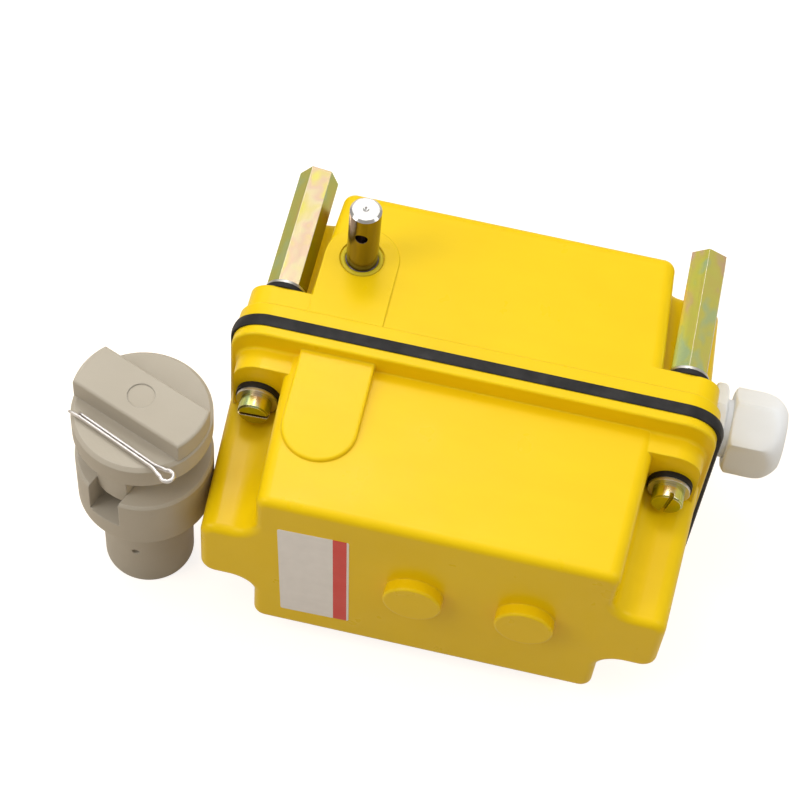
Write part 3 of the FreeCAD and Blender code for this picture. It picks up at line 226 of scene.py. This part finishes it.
# Metals: noise scales of their tool marks per metre, how the marks are drawn out, and their depth
MARK_SCALE, SMEAR_SCALE = 900.0, 150.0
UNSTRETCHED = (1.0, 1.0, 1.0)
TURNED_ABOUT_Z = (0.3, 0.3, 12.0)
MARK_DEPTH = 0.2 * MM
METAL_ROUNDING = 0.2 * MM


def metal(name, dark, light, rough, stretch=UNSTRETCHED, grain=0.05, drift=40.0, edge_highlight=None):
    """Metal from a dark to a light colour, with fine tool marks drawn out by stretch and, where given, a
    painted highlight along the edges.
    """
    shader = Shader(name)
    tone = shader.spread(shader.noise(drift), dark, light)
    # Painted highlight: the edges turn towards the given colour
    if edge_highlight:
        tone = shader.mix(shader.edges(METAL_ROUNDING), tone, edge_highlight)
    shader.link(tone, "Base Color")
    shader.link(shader.spread(shader.noise(SMEAR_SCALE, stretch=stretch), *rough), "Roughness")
    marks = shader.noise(MARK_SCALE, detail=2.0, stretch=stretch)
    shader.bump(marks, grain, MARK_DEPTH, METAL_ROUNDING)
    shader.set(Metallic=1.0)
    return shader.material


# Zinc: its colours on level, slanting and steep flats, each along the values of its clouds; choosing them
# by how a flat faces is painted light and shade, the dark olive of the steep flats painted shade
ZINC_LEVEL = [(0.32, (0.68, 0.61, 0.15)), (0.42, (0.69, 0.59, 0.27)), (0.49, (0.70, 0.60, 0.37)),
              (0.57, (0.69, 0.51, 0.37)), (0.68, (0.70, 0.63, 0.18))]
ZINC_SLANT = [(0.36, (0.90, 0.62, 0.42)), (0.44, (0.90, 0.80, 0.18)), (0.54, (0.88, 0.86, 0.15)),
              (0.64, (0.64, 0.80, 0.40))]
ZINC_STEEP_PAINTED_SHADE = [(0.30, (0.46, 0.36, 0.12)), (0.42, (0.44, 0.42, 0.07)), (0.55, (0.40, 0.43, 0.08)),
              (0.68, (0.36, 0.44, 0.18))]
# Painted highlight along the edges
ZINC_EDGE_HIGHLIGHT = (0.90, 0.82, 0.62)
# Where steep turns to slanting and slanting to level, by how far a flat faces up or down
STEEP_TO_SLANT, SLANT_TO_LEVEL = [(0.62, 0.0), (0.78, 1.0)], [(0.90, 0.0), (0.97, 1.0)]
ZINC_CLOUD_SCALE, ZINC_SMEAR_SCALE, ZINC_MARK_SCALE = 110.0, 60.0, 300.0
ZINC_CLOUD_STRETCH, DRAWN_ALONG_Y = (1.0, 0.7, 1.0), (6.0, 0.4, 6.0)
ZINC_ROUGH = (0.16, 0.26)
ZINC_GRAIN = 0.03
ZINC_ROUNDING = 0.25 * MM


def passivated(name):
    """Yellow passivated zinc: gold with pink and green clouds, painted shade in olive on steep flats, a
    pale painted highlight along the edges.
    """
    shader = Shader(name)
    clouds = shader.noise(ZINC_CLOUD_SCALE, detail=2.0, roughness=0.5, stretch=ZINC_CLOUD_STRETCH)
    level = shader.ramp(clouds, ZINC_LEVEL)
    slant = shader.ramp(clouds, ZINC_SLANT)
    steep = shader.ramp(clouds, ZINC_STEEP_PAINTED_SHADE)
    # Painted light and shade: the colour changes with how far a flat faces up or down
    upright = shader.math("ABSOLUTE", shader.along(shader.facing, UPWARDS), 0.0)
    tone = shader.mix(shader.ramp(upright, STEEP_TO_SLANT), steep, slant)
    tone = shader.mix(shader.ramp(upright, SLANT_TO_LEVEL), tone, level)
    # Painted highlight along the edges
    tone = shader.mix(shader.edges(ZINC_ROUNDING), tone, ZINC_EDGE_HIGHLIGHT)
    shader.link(tone, "Base Color")
    smears = shader.noise(ZINC_SMEAR_SCALE, stretch=DRAWN_ALONG_Y)
    shader.link(shader.spread(smears, *ZINC_ROUGH), "Roughness")
    marks = shader.noise(ZINC_MARK_SCALE, detail=2.0, stretch=DRAWN_ALONG_Y)
    shader.bump(marks, ZINC_GRAIN, MARK_DEPTH, ZINC_ROUNDING)
    shader.set(Metallic=1.0)
    return shader.material


# Shaft: colours of its sides, darkened as painted shade, and of its faced end, lighter with a painted
# highlight, dark and light, and how far down that end reaches
SHAFT_SIDE_PAINTED_SHADE = ((0.155, 0.128, 0.13), (0.26, 0.215, 0.215))
SHAFT_END_WITH_HIGHLIGHT = ((0.62, 0.61, 0.60), (0.68, 0.67, 0.66))
SHAFT_END_DEPTH = 3 * MM
SIDE_TO_END = [(0.40, 0.0), (0.60, 1.0)]
SHAFT_STREAK_SCALE, SHAFT_END_SCALE, SHAFT_RING_SCALE = 50.0, 400.0, 160.0
DRAWN_ALONG_Z = (8.0, 8.0, 0.4)
SHAFT_ROUGH = (0.16, 0.24)
SHAFT_GRAIN = 0.012


def turned_shaft(name):
    """Turned shaft: dark sides with fine rings, their darkness painted shade; a faced end that faces up,
    lighter with a painted highlight.
    """
    shader = Shader(name)
    side = shader.spread(shader.noise(SHAFT_STREAK_SCALE, stretch=DRAWN_ALONG_Z), *SHAFT_SIDE_PAINTED_SHADE)
    end = shader.spread(shader.noise(SHAFT_END_SCALE, detail=2.0), *SHAFT_END_WITH_HIGHLIGHT)
    # Painted highlight: only faces near the top that face up take the light end colour
    level = shader.ramp(shader.along(shader.facing, UPWARDS), SIDE_TO_END)
    end_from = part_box("input_shaft")[1].z - SHAFT_END_DEPTH
    high_up = shader.math("GREATER_THAN", shader.along(shader.place, UPWARDS), end_from)
    shader.link(shader.mix(shader.math("MULTIPLY", level, high_up), side, end), "Base Color")
    rings = shader.noise(SHAFT_RING_SCALE, stretch=TURNED_ABOUT_Z)
    shader.link(shader.spread(rings, *SHAFT_ROUGH), "Roughness")
    marks = shader.noise(MARK_SCALE, detail=2.0, stretch=TURNED_ABOUT_Z)
    shader.bump(marks, SHAFT_GRAIN, MARK_DEPTH, METAL_ROUNDING)
    shader.set(Metallic=1.0)
    return shader.material


# Rubbers: noise scales of their dust, sheen and skin per metre, and where the dust begins and is thickest
DUST_SCALE, RUBBER_SHEEN_SCALE, RUBBER_SKIN_SCALE = 160.0, 300.0, 1500.0
DUST_FROM, DUST_FULL = 0.35, 0.75
RUBBER_ROUGH = (0.45, 0.62)
RUBBER_GRAIN = 0.10
RUBBER_GLOSS = 0.25
RUBBER_SKIN_DEPTH = 0.3 * MM
RUBBER_ROUNDING = 0.4 * MM


def rubber(name, colour, dusty):
    """Dull rubber with a little dust on it and a grained skin."""
    shader = Shader(name)
    dust = shader.noise(DUST_SCALE, detail=4.0)
    shader.link(shader.ramp(dust, [(DUST_FROM, colour), (DUST_FULL, dusty)]), "Base Color")
    shader.link(shader.spread(shader.noise(RUBBER_SHEEN_SCALE), *RUBBER_ROUGH), "Roughness")
    skin = shader.noise(RUBBER_SKIN_SCALE, detail=2.0)
    shader.bump(skin, RUBBER_GRAIN, RUBBER_SKIN_DEPTH, RUBBER_ROUNDING)
    shader.set(Specular_IOR_Level=RUBBER_GLOSS)
    return shader.material


# Plastics: main colour, deep colour, range of roughness, grain, edge radius, colour of the painted edge
# highlight, gloss
YELLOW = moulded("yellow_plastic", (0.89, 0.605, 0.003), (0.87, 0.58, 0.002), (0.27, 0.34), 0.05, 0.7 * MM,
                 (0.95, 0.72, 0.03), 0.17)
BEIGE = moulded("beige_plastic", (0.49, 0.44, 0.36), (0.45, 0.40, 0.32), (0.46, 0.58), 0.3, 0.6 * MM,
                (0.57, 0.53, 0.46), 0.3)
OFF_WHITE = moulded("off_white_plastic", (0.92, 0.935, 0.96), (0.89, 0.905, 0.93), (0.38, 0.48), 0.15,
                    0.6 * MM, (0.91, 0.915, 0.92), 0.3)
WHITE_GEAR = moulded("gear_plastic", (0.80, 0.79, 0.73), (0.76, 0.74, 0.68), (0.4, 0.5), 0.06, 0.2 * MM)
RED = moulded("red_plastic", (0.50, 0.03, 0.02), (0.44, 0.024, 0.018), (0.35, 0.45), 0.06, 0.3 * MM)
BLACK = moulded("black_plastic", (0.022, 0.022, 0.024), (0.014, 0.014, 0.015), (0.35, 0.5), 0.1, 0.3 * MM)
# Rubbers: clean colour, dusty colour
RUBBER = rubber("black_rubber", (0.010, 0.009, 0.009), (0.026, 0.024, 0.024))
LIP = rubber("lip_seal_rubber", (0.56, 0.44, 0.012), (0.66, 0.52, 0.02))
ZINC = passivated("yellow_zinc")
SHAFT = turned_shaft("turned_shaft")
# Other metals: dark colour, light colour, range of roughness
STEEL = metal("turned_steel", (0.50, 0.49, 0.48), (0.66, 0.65, 0.64), (0.18, 0.3), TURNED_ABOUT_Z)
WIRE = metal("drawn_wire", (0.60, 0.57, 0.55), (0.74, 0.71, 0.69), (0.36, 0.46), grain=0.01, drift=300.0)
PLATE = metal("plated_steel", (0.52, 0.53, 0.55), (0.64, 0.65, 0.66), (0.3, 0.45))
# Washers: a painted highlight along their edges
WASHER = metal("washer_steel", (0.50, 0.49, 0.46), (0.66, 0.64, 0.60), (0.25, 0.4),
               edge_highlight=(0.82, 0.81, 0.78))
BRONZE = metal("bronze", (0.48, 0.30, 0.11), (0.62, 0.42, 0.18), (0.25, 0.4))

# Finish of each slot in the record, and of the nodes that differ from their slot
FINISH = {
    "yellow_housing": YELLOW, "black_rubber": RUBBER, "shaft_lip_seal": LIP, "zinc_yellow": ZINC,
    "bright_steel": STEEL, "plate_steel": PLATE, "bronze": BRONZE, "gear_white": WHITE_GEAR,
    "cam_red": RED, "switch_black": BLACK, "plunger_red": RED, "gland_white": OFF_WHITE,
    "coupling_beige": BEIGE,
}
OWN_FINISH = {
    "cover_washers": WASHER, "standoff_washers": WASHER, "input_shaft": SHAFT, "cotter_pin": WIRE,
}


def finish_nodes():
    """Every CAD node takes the finish of its slot in the record, or one of its own."""
    for entry in frame["record"]["subparts"]:
        node = nodes[entry["node"]]
        material = OWN_FINISH.get(entry["node"], FINISH[entry["material_slot"]])
        node.data.materials.clear()
        node.data.materials.append(material)
        for face in node.data.polygons:
            face.material_index = 0


def add_band(mesh, first, second):
    """One strip of faces between two closed outlines."""
    for a, b, c, d in zip(first, first[1:] + first[:1], second[1:] + second[:1], second):
        mesh.faces.new((a, b, c, d))


def new_piece(name, mesh, material, body):
    """Turns a bmesh into an object of one material that rides on a body."""
    bmesh.ops.recalc_face_normals(mesh, faces=mesh.faces)
    data = bpy.data.meshes.new(name)
    mesh.to_mesh(data)
    mesh.free()
    data.materials.append(material)
    data.shade_smooth()
    piece = bpy.data.objects.new(name, data)
    bpy.context.scene.collection.objects.link(piece)
    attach(piece, body)
    return piece


# Cable gland, along X: nut and collar are 25 mm across flats, and the power sets how crisp the flats are
GLAND_FLATS = 25 * MM
NUT_TURN, COLLAR_TURN = math.radians(23), math.radians(32)
GLAND_STEPS = 96
GLAND_SHARPNESS = 40
GLAND_SHARP_EDGE = math.radians(28)
# Outlines in mm as (along, radius, whether the hexagon's flats cut it)
NUT_OUTLINE = [
    (0, 9.6, False), (0, 12.4, True), (0.5, 13.6, True), (1.2, 14.8, True), (9.0, 15.1, True),
    (10.8, 14.7, True), (12.4, 14.1, True), (13.8, 13.4, True), (15.2, 12.4, True), (16.4, 11.3, True),
    (17.3, 10.2, True), (17.9, 9.2, False), (18.1, 8.2, False), (18.1, 6.2, False), (17.6, 5.5, False),
    (14.2, 5.5, False), (14.2, 7.5, False), (9.8, 7.5, False), (9.8, 9.6, False),
]
COLLAR_OUTLINE = [
    (13.0, 12.6, True), (13.6, 14.0, True), (14.2, 14.8, True), (16.4, 14.8, True), (17.1, 13.8, True),
    (17.5, 12.6, True), (17.5, 9.5, False), (29.5, 9.5, False), (29.5, 7.5, False), (22.1, 7.5, False),
    (22.1, 6.5, False), (0, 6.5, False), (0, 9.1, False),
]
THREAD_PITCH = 1.5
THREAD_TURNS = 8
THREAD_CREST, THREAD_ROOT = 10.0, 9.2


def gland_piece(name, node, outline, turn):
    """Outline swept once around the gland's axis, its outer part pressed into a hexagon."""
    seal_low, seal_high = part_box("gland_seal")
    foot = (seal_low + seal_high) / 2
    foot.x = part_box(node)[0].x
    mesh = bmesh.new()
    rows = []
    for step in range(GLAND_STEPS):
        angle = turn + 2 * math.pi * step / GLAND_STEPS
        out = Vector((0.0, math.cos(angle), math.sin(angle)))
        flat = GLAND_FLATS / 2 / math.cos((angle - turn) % (math.pi / 3) - math.pi / 6)
        row = []
        for along, radius, pressed in outline:
            reach = radius * MM
            if pressed:
                reach = (reach ** -GLAND_SHARPNESS + flat ** -GLAND_SHARPNESS) ** (-1 / GLAND_SHARPNESS)
            row.append(mesh.verts.new(foot + ALONG_X * (along * MM) + out * reach))
        rows.append(row)
    for row, following in zip(rows, rows[1:] + rows[:1]):
        add_band(mesh, row, following)
    piece = new_piece(name, mesh, OFF_WHITE, "switch_box")
    piece.data.set_sharp_from_angle(angle=GLAND_SHARP_EDGE)
    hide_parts(node)


def add_gland():
    gland_piece("gland_dome_nut", "gland_nut", NUT_OUTLINE, NUT_TURN)
    thread = []
    for i in range(THREAD_TURNS):
        thread.append(((i + 0.5) * THREAD_PITCH, THREAD_CREST, False))
        thread.append(((i + 1.0) * THREAD_PITCH, THREAD_ROOT, False))
    gland_piece("gland_hex_body", "gland_body", thread + COLLAR_OUTLINE, COLLAR_TURN)


# Gasket: its rubber sheet stands a little proud of the flanges at both ends and on top
GASKET_CORNER = 11 * MM
GASKET_PROUD_LEFT, GASKET_PROUD_RIGHT = 1.1 * MM, 1.9 * MM
GASKET_PROUD_TOP = 0.5 * MM
# Where its thickness is cut, the share of its swell missing at its faces, and how deep its rim counts
GASKET_CUTS = (0.2, 0.5, 0.8)
GASKET_FACE_LOSS = 0.3
GASKET_RIM = 0.05 * MM
GASKET_SHARP_EDGE = math.radians(40)


def add_gasket():
    """The CAD gasket with its outer rim pushed out, most in the middle of its thickness."""
    low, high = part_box("joint_gasket")
    half = Vector((high.x - GASKET_CORNER, 0.0, high.z - GASKET_CORNER))
    mesh = bmesh.new()
    mesh.from_mesh(nodes["joint_gasket"].data)
    for share in GASKET_CUTS:
        plane = Vector((0.0, low.y + share * (high.y - low.y), 0.0))
        every = mesh.verts[:] + mesh.edges[:] + mesh.faces[:]
        bmesh.ops.bisect_plane(mesh, geom=every, plane_co=plane, plane_no=(0.0, 1.0, 0.0))
    for vertex in mesh.verts:
        x, y, z = vertex.co
        out = Vector((max(abs(x) - half.x, 0.0), 0.0, max(abs(z) - half.z, 0.0)))
        if out.length < GASKET_CORNER - GASKET_RIM:
            continue
        out.normalize()
        share = 2 * (y - low.y) / (high.y - low.y) - 1
        swell = 1 - GASKET_FACE_LOSS * share * share
        vertex.co.x += swell * out.x * (GASKET_PROUD_RIGHT if x > 0 else -GASKET_PROUD_LEFT)
        if z > 0:
            vertex.co.z += GASKET_PROUD_TOP * swell * out.z
    gasket = new_piece("flange_gasket", mesh, RUBBER, "switch_box")
    gasket.data.set_sharp_from_angle(angle=GASKET_SHARP_EDGE)
    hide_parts("joint_gasket")


# Lip of the shaft's seal, lying on the base round the shaft: its section in mm as (radius, height)
LIP_OUTLINE = [(5.3, 0.0), (5.3, 0.35), (5.5, 0.6), (5.95, 0.7), (6.4, 0.6), (6.75, 0.35), (6.85, 0.0)]
LIP_STEPS = 72
LIP_BELOW_TOP = 1.0 * MM
LIP_SHARP_EDGE = math.radians(60)


def add_seal_lip():
    """Section swept once around the shaft."""
    low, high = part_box("shaft_seal")
    centre = (low + high) / 2
    centre.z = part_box("base_housing")[1].z - LIP_BELOW_TOP
    mesh = bmesh.new()
    rows = []
    for step in range(LIP_STEPS):
        angle = 2 * math.pi * step / LIP_STEPS
        out = Vector((math.cos(angle), math.sin(angle), 0.0))
        row = []
        for radius, height in LIP_OUTLINE:
            row.append(mesh.verts.new(centre + out * (radius * MM) + UPWARDS * (height * MM)))
        rows.append(row)
    for row, following in zip(rows, rows[1:] + rows[:1]):
        add_band(mesh, row, following)
    lip = new_piece("seal_lip", mesh, LIP, "switch_box")
    lip.data.set_sharp_from_angle(angle=LIP_SHARP_EDGE)


# Sticker on the cover's face: bare white paper with a plain red band at its right
BOSS_HEIGHT = 4 * MM
LABEL_LEFT, LABEL_RIGHT = -46.2 * MM, -24.0 * MM
LABEL_LOW, LABEL_HIGH = -27.5 * MM, 23.0 * MM
LABEL_TILT = math.radians(2.3)
LABEL_CORNER = 0.8 * MM
LABEL_CORNER_STEPS = 6
LABEL_DEPTH = 0.12 * MM
LABEL_RIM_SHARE = 0.3
LABEL_WHITE, LABEL_RED = (0.86, 0.83, 0.81), (0.72, 0.04, 0.03)
BAND_FROM, BAND_TO = 0.77, 0.965
# Its paper: noise scales per metre, ranges of shade and roughness, and its grain
PAPER_SHADE_SCALE, PAPER_SHEEN_SCALE, PAPER_GRAIN_SCALE = 220.0, 120.0, 900.0
PAPER_SHADES, PAPER_ROUGH = (0.94, 1.0), (0.34, 0.46)
PAPER_GRAIN = 0.06
PAPER_GRAIN_DEPTH = 0.2 * MM


def label_paper():
    """White paper, slightly uneven, with the band printed across part of its width."""
    shader = Shader("label_paper")
    across = shader.math("DIVIDE", shader.along(shader.place, ALONG_X), LABEL_RIGHT - LABEL_LEFT)
    stops = [(0.0, LABEL_WHITE), (BAND_FROM, LABEL_RED), (BAND_TO, LABEL_WHITE)]
    printed = shader.ramp(across, stops, steps=True)
    shades = shader.spread(shader.noise(PAPER_SHADE_SCALE, detail=4.0), *PAPER_SHADES)
    shader.link(shader.mix(1.0, printed, shades, "MULTIPLY"), "Base Color")
    shader.link(shader.spread(shader.noise(PAPER_SHEEN_SCALE), *PAPER_ROUGH), "Roughness")
    shader.bump(shader.noise(PAPER_GRAIN_SCALE, detail=2.0), PAPER_GRAIN, PAPER_GRAIN_DEPTH)
    return shader.material


def add_label():
    """Rounded sheet, its rim bent back to the face that it sticks on."""
    face_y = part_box("cover_housing")[0].y + BOSS_HEIGHT
    width, height = LABEL_RIGHT - LABEL_LEFT, LABEL_HIGH - LABEL_LOW
    right, top = width - LABEL_CORNER, height - LABEL_CORNER
    corners = [(right, top, 0), (LABEL_CORNER, top, 90), (LABEL_CORNER, LABEL_CORNER, 180),
               (right, LABEL_CORNER, 270)]
    rim = LABEL_RIM_SHARE * LABEL_DEPTH
    mesh = bmesh.new()
    loops = []
    for y, inset in ((0.0, 0.0), (rim - LABEL_DEPTH, 0.0), (-LABEL_DEPTH, rim)):
        reach = LABEL_CORNER - inset
        ring = []
        for centre_x, centre_z, first in corners:
            for step in range(LABEL_CORNER_STEPS + 1):
                angle = math.radians(first + 90 / LABEL_CORNER_STEPS * step)
                x, z = centre_x + reach * math.cos(angle), centre_z + reach * math.sin(angle)
                ring.append(mesh.verts.new((x, y, z)))
        loops.append(ring)
    for low, high in zip(loops, loops[1:]):
        add_band(mesh, low, high)
    mesh.faces.new(loops[-1])
    mesh.faces.new(loops[0][::-1])
    label = new_piece("cover_label", mesh, label_paper(), "switch_box")
    label.data.shade_flat()
    label.location = (LABEL_LEFT, face_y, LABEL_LOW)
    label.rotation_euler.y = -LABEL_TILT


# Split pin: one wire bent into an eye, its two flattened legs side by side
PIN_TURN = math.radians(-24.2)
PIN_LENGTH = 37.3 * MM
PIN_SHORT_LEG = 34.6 * MM
PIN_EYE = 1.9 * MM
PIN_EYE_WIRE = 0.68 * MM
PIN_LEG_HALF_WIDTH = 0.5 * MM
PIN_LEG_HALF_HEIGHT = 0.95 * MM
PIN_NECK = 5.4 * MM
PIN_LEG_OFFSET = 1.08 * PIN_LEG_HALF_WIDTH
# How far the tips of the long and the short leg splay, over what length, and the bend on the way
PIN_SPLAY, PIN_SHORT_SPLAY = 0.35 * MM, 0.1 * MM
PIN_SPLAY_REACH, PIN_SPLAY_BEND, PIN_SPLAY_SHARE = 4 * MM, 1.5 * MM, 0.4
PIN_STRAIGHT_FROM = 5 * MM
PIN_TIP_SHARE = 0.55
# Angle at which the legs run into the eye, and the wire's reach beyond the eye in the CAD node's box
PIN_EYE_TOUCH = math.radians(44)
PIN_BOX_MARGIN = 0.7 * MM
PIN_LEG_STEPS, PIN_NECK_STEPS, PIN_EYE_STEPS = 5, 9, 28
PIN_SECTION = 14


def pin_half(tip, splay):
    """Centre line of one leg from its tip to the eye, as (along, across, how far it has left the leg)."""
    touch_along, touch_across = PIN_EYE * math.cos(PIN_EYE_TOUCH), PIN_EYE * math.sin(PIN_EYE_TOUCH)
    points = [(tip, PIN_LEG_OFFSET + splay, 0.0),
              (tip - PIN_SPLAY_BEND, PIN_LEG_OFFSET + PIN_SPLAY_SHARE * splay, 0.0),
              (tip - PIN_SPLAY_REACH, PIN_LEG_OFFSET, 0.0)]
    straight = tip - PIN_STRAIGHT_FROM - PIN_NECK
    for i in range(PIN_LEG_STEPS, -1, -1):
        points.append((PIN_NECK + straight * i / PIN_LEG_STEPS, PIN_LEG_OFFSET, 0.0))
    for i in range(1, PIN_NECK_STEPS):
        share = i / PIN_NECK_STEPS
        smooth = share * share * (3 - 2 * share)
        points.append((PIN_NECK + (touch_along - PIN_NECK) * share,
                       PIN_LEG_OFFSET + (touch_across - PIN_LEG_OFFSET) * smooth, smooth))
    return points


def pin_path():
    """Centre line of the whole wire, tip to tip: long leg, eye, short leg."""
    eye = []
    for i in range(PIN_EYE_STEPS + 1):
        angle = PIN_EYE_TOUCH + 2 * (math.pi - PIN_EYE_TOUCH) * i / PIN_EYE_STEPS
        eye.append((PIN_EYE * math.cos(angle), PIN_EYE * math.sin(angle), 1.0))
    short = [(along, -across, left) for along, across, left in pin_half(PIN_SHORT_LEG, PIN_SHORT_SPLAY)]
    return pin_half(PIN_LENGTH, PIN_SPLAY) + eye + short[::-1]


def add_cotter_pin():
    """Section swept along the wire: flat ovals on the legs, round in the eye."""
    low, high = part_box("cotter_pin")
    reach = PIN_EYE + PIN_BOX_MARGIN
    eye = Vector((high.x - reach, low.y + reach, (low.z + high.z) / 2))
    away = Vector((-math.cos(PIN_TURN), -math.sin(PIN_TURN), 0.0))
    side = Vector((-away.y, away.x, 0.0))
    path = pin_path()
    places = [eye + away * u + side * v for u, v, _ in path]
    mesh = bmesh.new()
    rings = []
    for i, (place, (_, _, loop)) in enumerate(zip(places, path)):
        run = (places[min(i + 1, len(places) - 1)] - places[max(i - 1, 0)]).normalized()
        across = Vector((-run.y, run.x, 0.0))
        width = PIN_LEG_HALF_WIDTH + (PIN_EYE_WIRE - PIN_LEG_HALF_WIDTH) * loop
        height = PIN_LEG_HALF_HEIGHT + (PIN_EYE_WIRE - PIN_LEG_HALF_HEIGHT) * loop
        tip = PIN_TIP_SHARE if i in (0, len(places) - 1) else 1.0
        ring = []
        for k in range(PIN_SECTION):
            angle = 2 * math.pi * k / PIN_SECTION
            offset = across * (width * tip * math.cos(angle)) + UPWARDS * (height * tip * math.sin(angle))
            ring.append(mesh.verts.new(place + offset))
        rings.append(ring)
    for ring, following in zip(rings, rings[1:]):
        add_band(mesh, ring, following)
    mesh.faces.new(rings[0][::-1])
    mesh.faces.new(rings[-1])
    pin = new_piece("split_pin", mesh, WIRE, "coupling_upper")
    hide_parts("cotter_pin")


# Floor: its colour for the light that it throws back, and its glow as the camera and as mirrors see it
FLOOR_COLOUR = (0.49, 0.42, 0.33, 1.0)
FLOOR_GLOW = 0.80
FLOOR_MIRRORED_GLOW = 0.35
FLOOR_REACH = 3.0


def floor_material():
    """Pale floor that catches the shadow, plus a glow that only the camera and mirrors see."""
    shader = Shader("floor_white")
    shader.set(Base_Color=FLOOR_COLOUR, Roughness=0.9, Specular_IOR_Level=0.0)
    shader.set(Emission_Color=(1.0, 1.0, 1.0, 1.0))
    path = shader.nodes.new("ShaderNodeLightPath").outputs
    mirrored = shader.math("MAXIMUM", path["Is Glossy Ray"], path["Is Transmission Ray"])
    mirrored = shader.math("MULTIPLY", mirrored, FLOOR_MIRRORED_GLOW)
    seen = shader.math("MULTIPLY", path["Is Camera Ray"], FLOOR_GLOW)
    shader.link(shader.math("ADD", seen, mirrored), "Emission Strength")
    return shader.material


def add_floor():
    mesh = bmesh.new()
    bmesh.ops.create_grid(mesh, x_segments=1, y_segments=1, size=FLOOR_REACH)
    data = bpy.data.meshes.new("floor")
    mesh.to_mesh(data)
    mesh.free()
    data.materials.append(floor_material())
    floor = bpy.data.objects.new("floor", data)
    floor.location.z = FLOOR_Z
    bpy.context.scene.collection.objects.link(floor)


# Room: dim, and brighter towards its back wall and ceiling
ROOM_TINT = (1.0, 0.96, 0.88, 1.0)
ROOM_BRIGHT_SIDE = (0.0, 0.45, 0.89)
ROOM_DARK_AT, ROOM_LIGHT_AT = -0.6, 0.9
ROOM_DARK, ROOM_LIGHT = 0.28, 0.62


def add_room():
    world = bpy.data.worlds.new("studio")
    bpy.context.scene.world = world
    world.use_nodes = True
    tree = world.node_tree
    back = tree.nodes["Background"]
    back.inputs["Color"].default_value = ROOM_TINT
    direction = tree.nodes.new("ShaderNodeTexCoord").outputs["Generated"]
    towards = tree.nodes.new("ShaderNodeVectorMath")
    towards.operation = "DOT_PRODUCT"
    tree.links.new(direction, towards.inputs[0])
    towards.inputs[1].default_value = ROOM_BRIGHT_SIDE
    level = tree.nodes.new("ShaderNodeMapRange")
    level.inputs["From Min"].default_value = ROOM_DARK_AT
    level.inputs["From Max"].default_value = ROOM_LIGHT_AT
    level.inputs["To Min"].default_value = ROOM_DARK
    level.inputs["To Max"].default_value = ROOM_LIGHT
    tree.links.new(towards.outputs["Value"], level.inputs["Value"])
    tree.links.new(level.outputs["Result"], back.inputs["Strength"])


# Softboxes, all aimed at the middle of the switch: name, place, size, watts, colour
MIDDLE = Vector((0.0, -0.06, 0.0))
NEUTRAL, COOL = (1.0, 1.0, 1.0), (0.92, 0.97, 1.0)
SOFTBOXES = [
    ("top_softbox", (-0.25, 0.05, 1.3), (1.3, 1.1), 4.0, NEUTRAL),
    ("left_softbox", (-0.95, -0.55, 0.82), (0.6, 0.8), 5.0, NEUTRAL),
    ("back_softbox", (-0.05, 0.75, 1.25), (1.1, 0.9), 2.0, NEUTRAL),
    ("gloss_panel", (-0.22, 0.46, 1.2), (0.3, 0.26), 2.2, NEUTRAL),
    ("right_softbox", (1.05, -0.1, 0.85), (0.5, 0.7), 3.2, COOL),
    ("side_softbox", (-0.85, 0.7, 0.95), (0.4, 0.7), 1.2, NEUTRAL),
]


def add_softboxes():
    for name, place, size, watts, colour in SOFTBOXES:
        data = bpy.data.lights.new(name, "AREA")
        data.shape = "RECTANGLE"
        data.size, data.size_y = size
        data.energy = watts
        data.color = colour
        lamp = bpy.data.objects.new(name, data)
        aim = (MIDDLE - Vector(place)).to_track_quat("-Z", "Y")
        lamp.matrix_world = Matrix.Translation(place) @ aim.to_matrix().to_4x4()
        bpy.context.scene.collection.objects.link(lamp)


add_camera()
finish_nodes()
add_gasket()
add_gland()
add_seal_lip()
add_label()
add_cotter_pin()
add_floor()
add_room()
add_softboxes()
bpy.context.scene.view_settings.view_transform = "Standard"
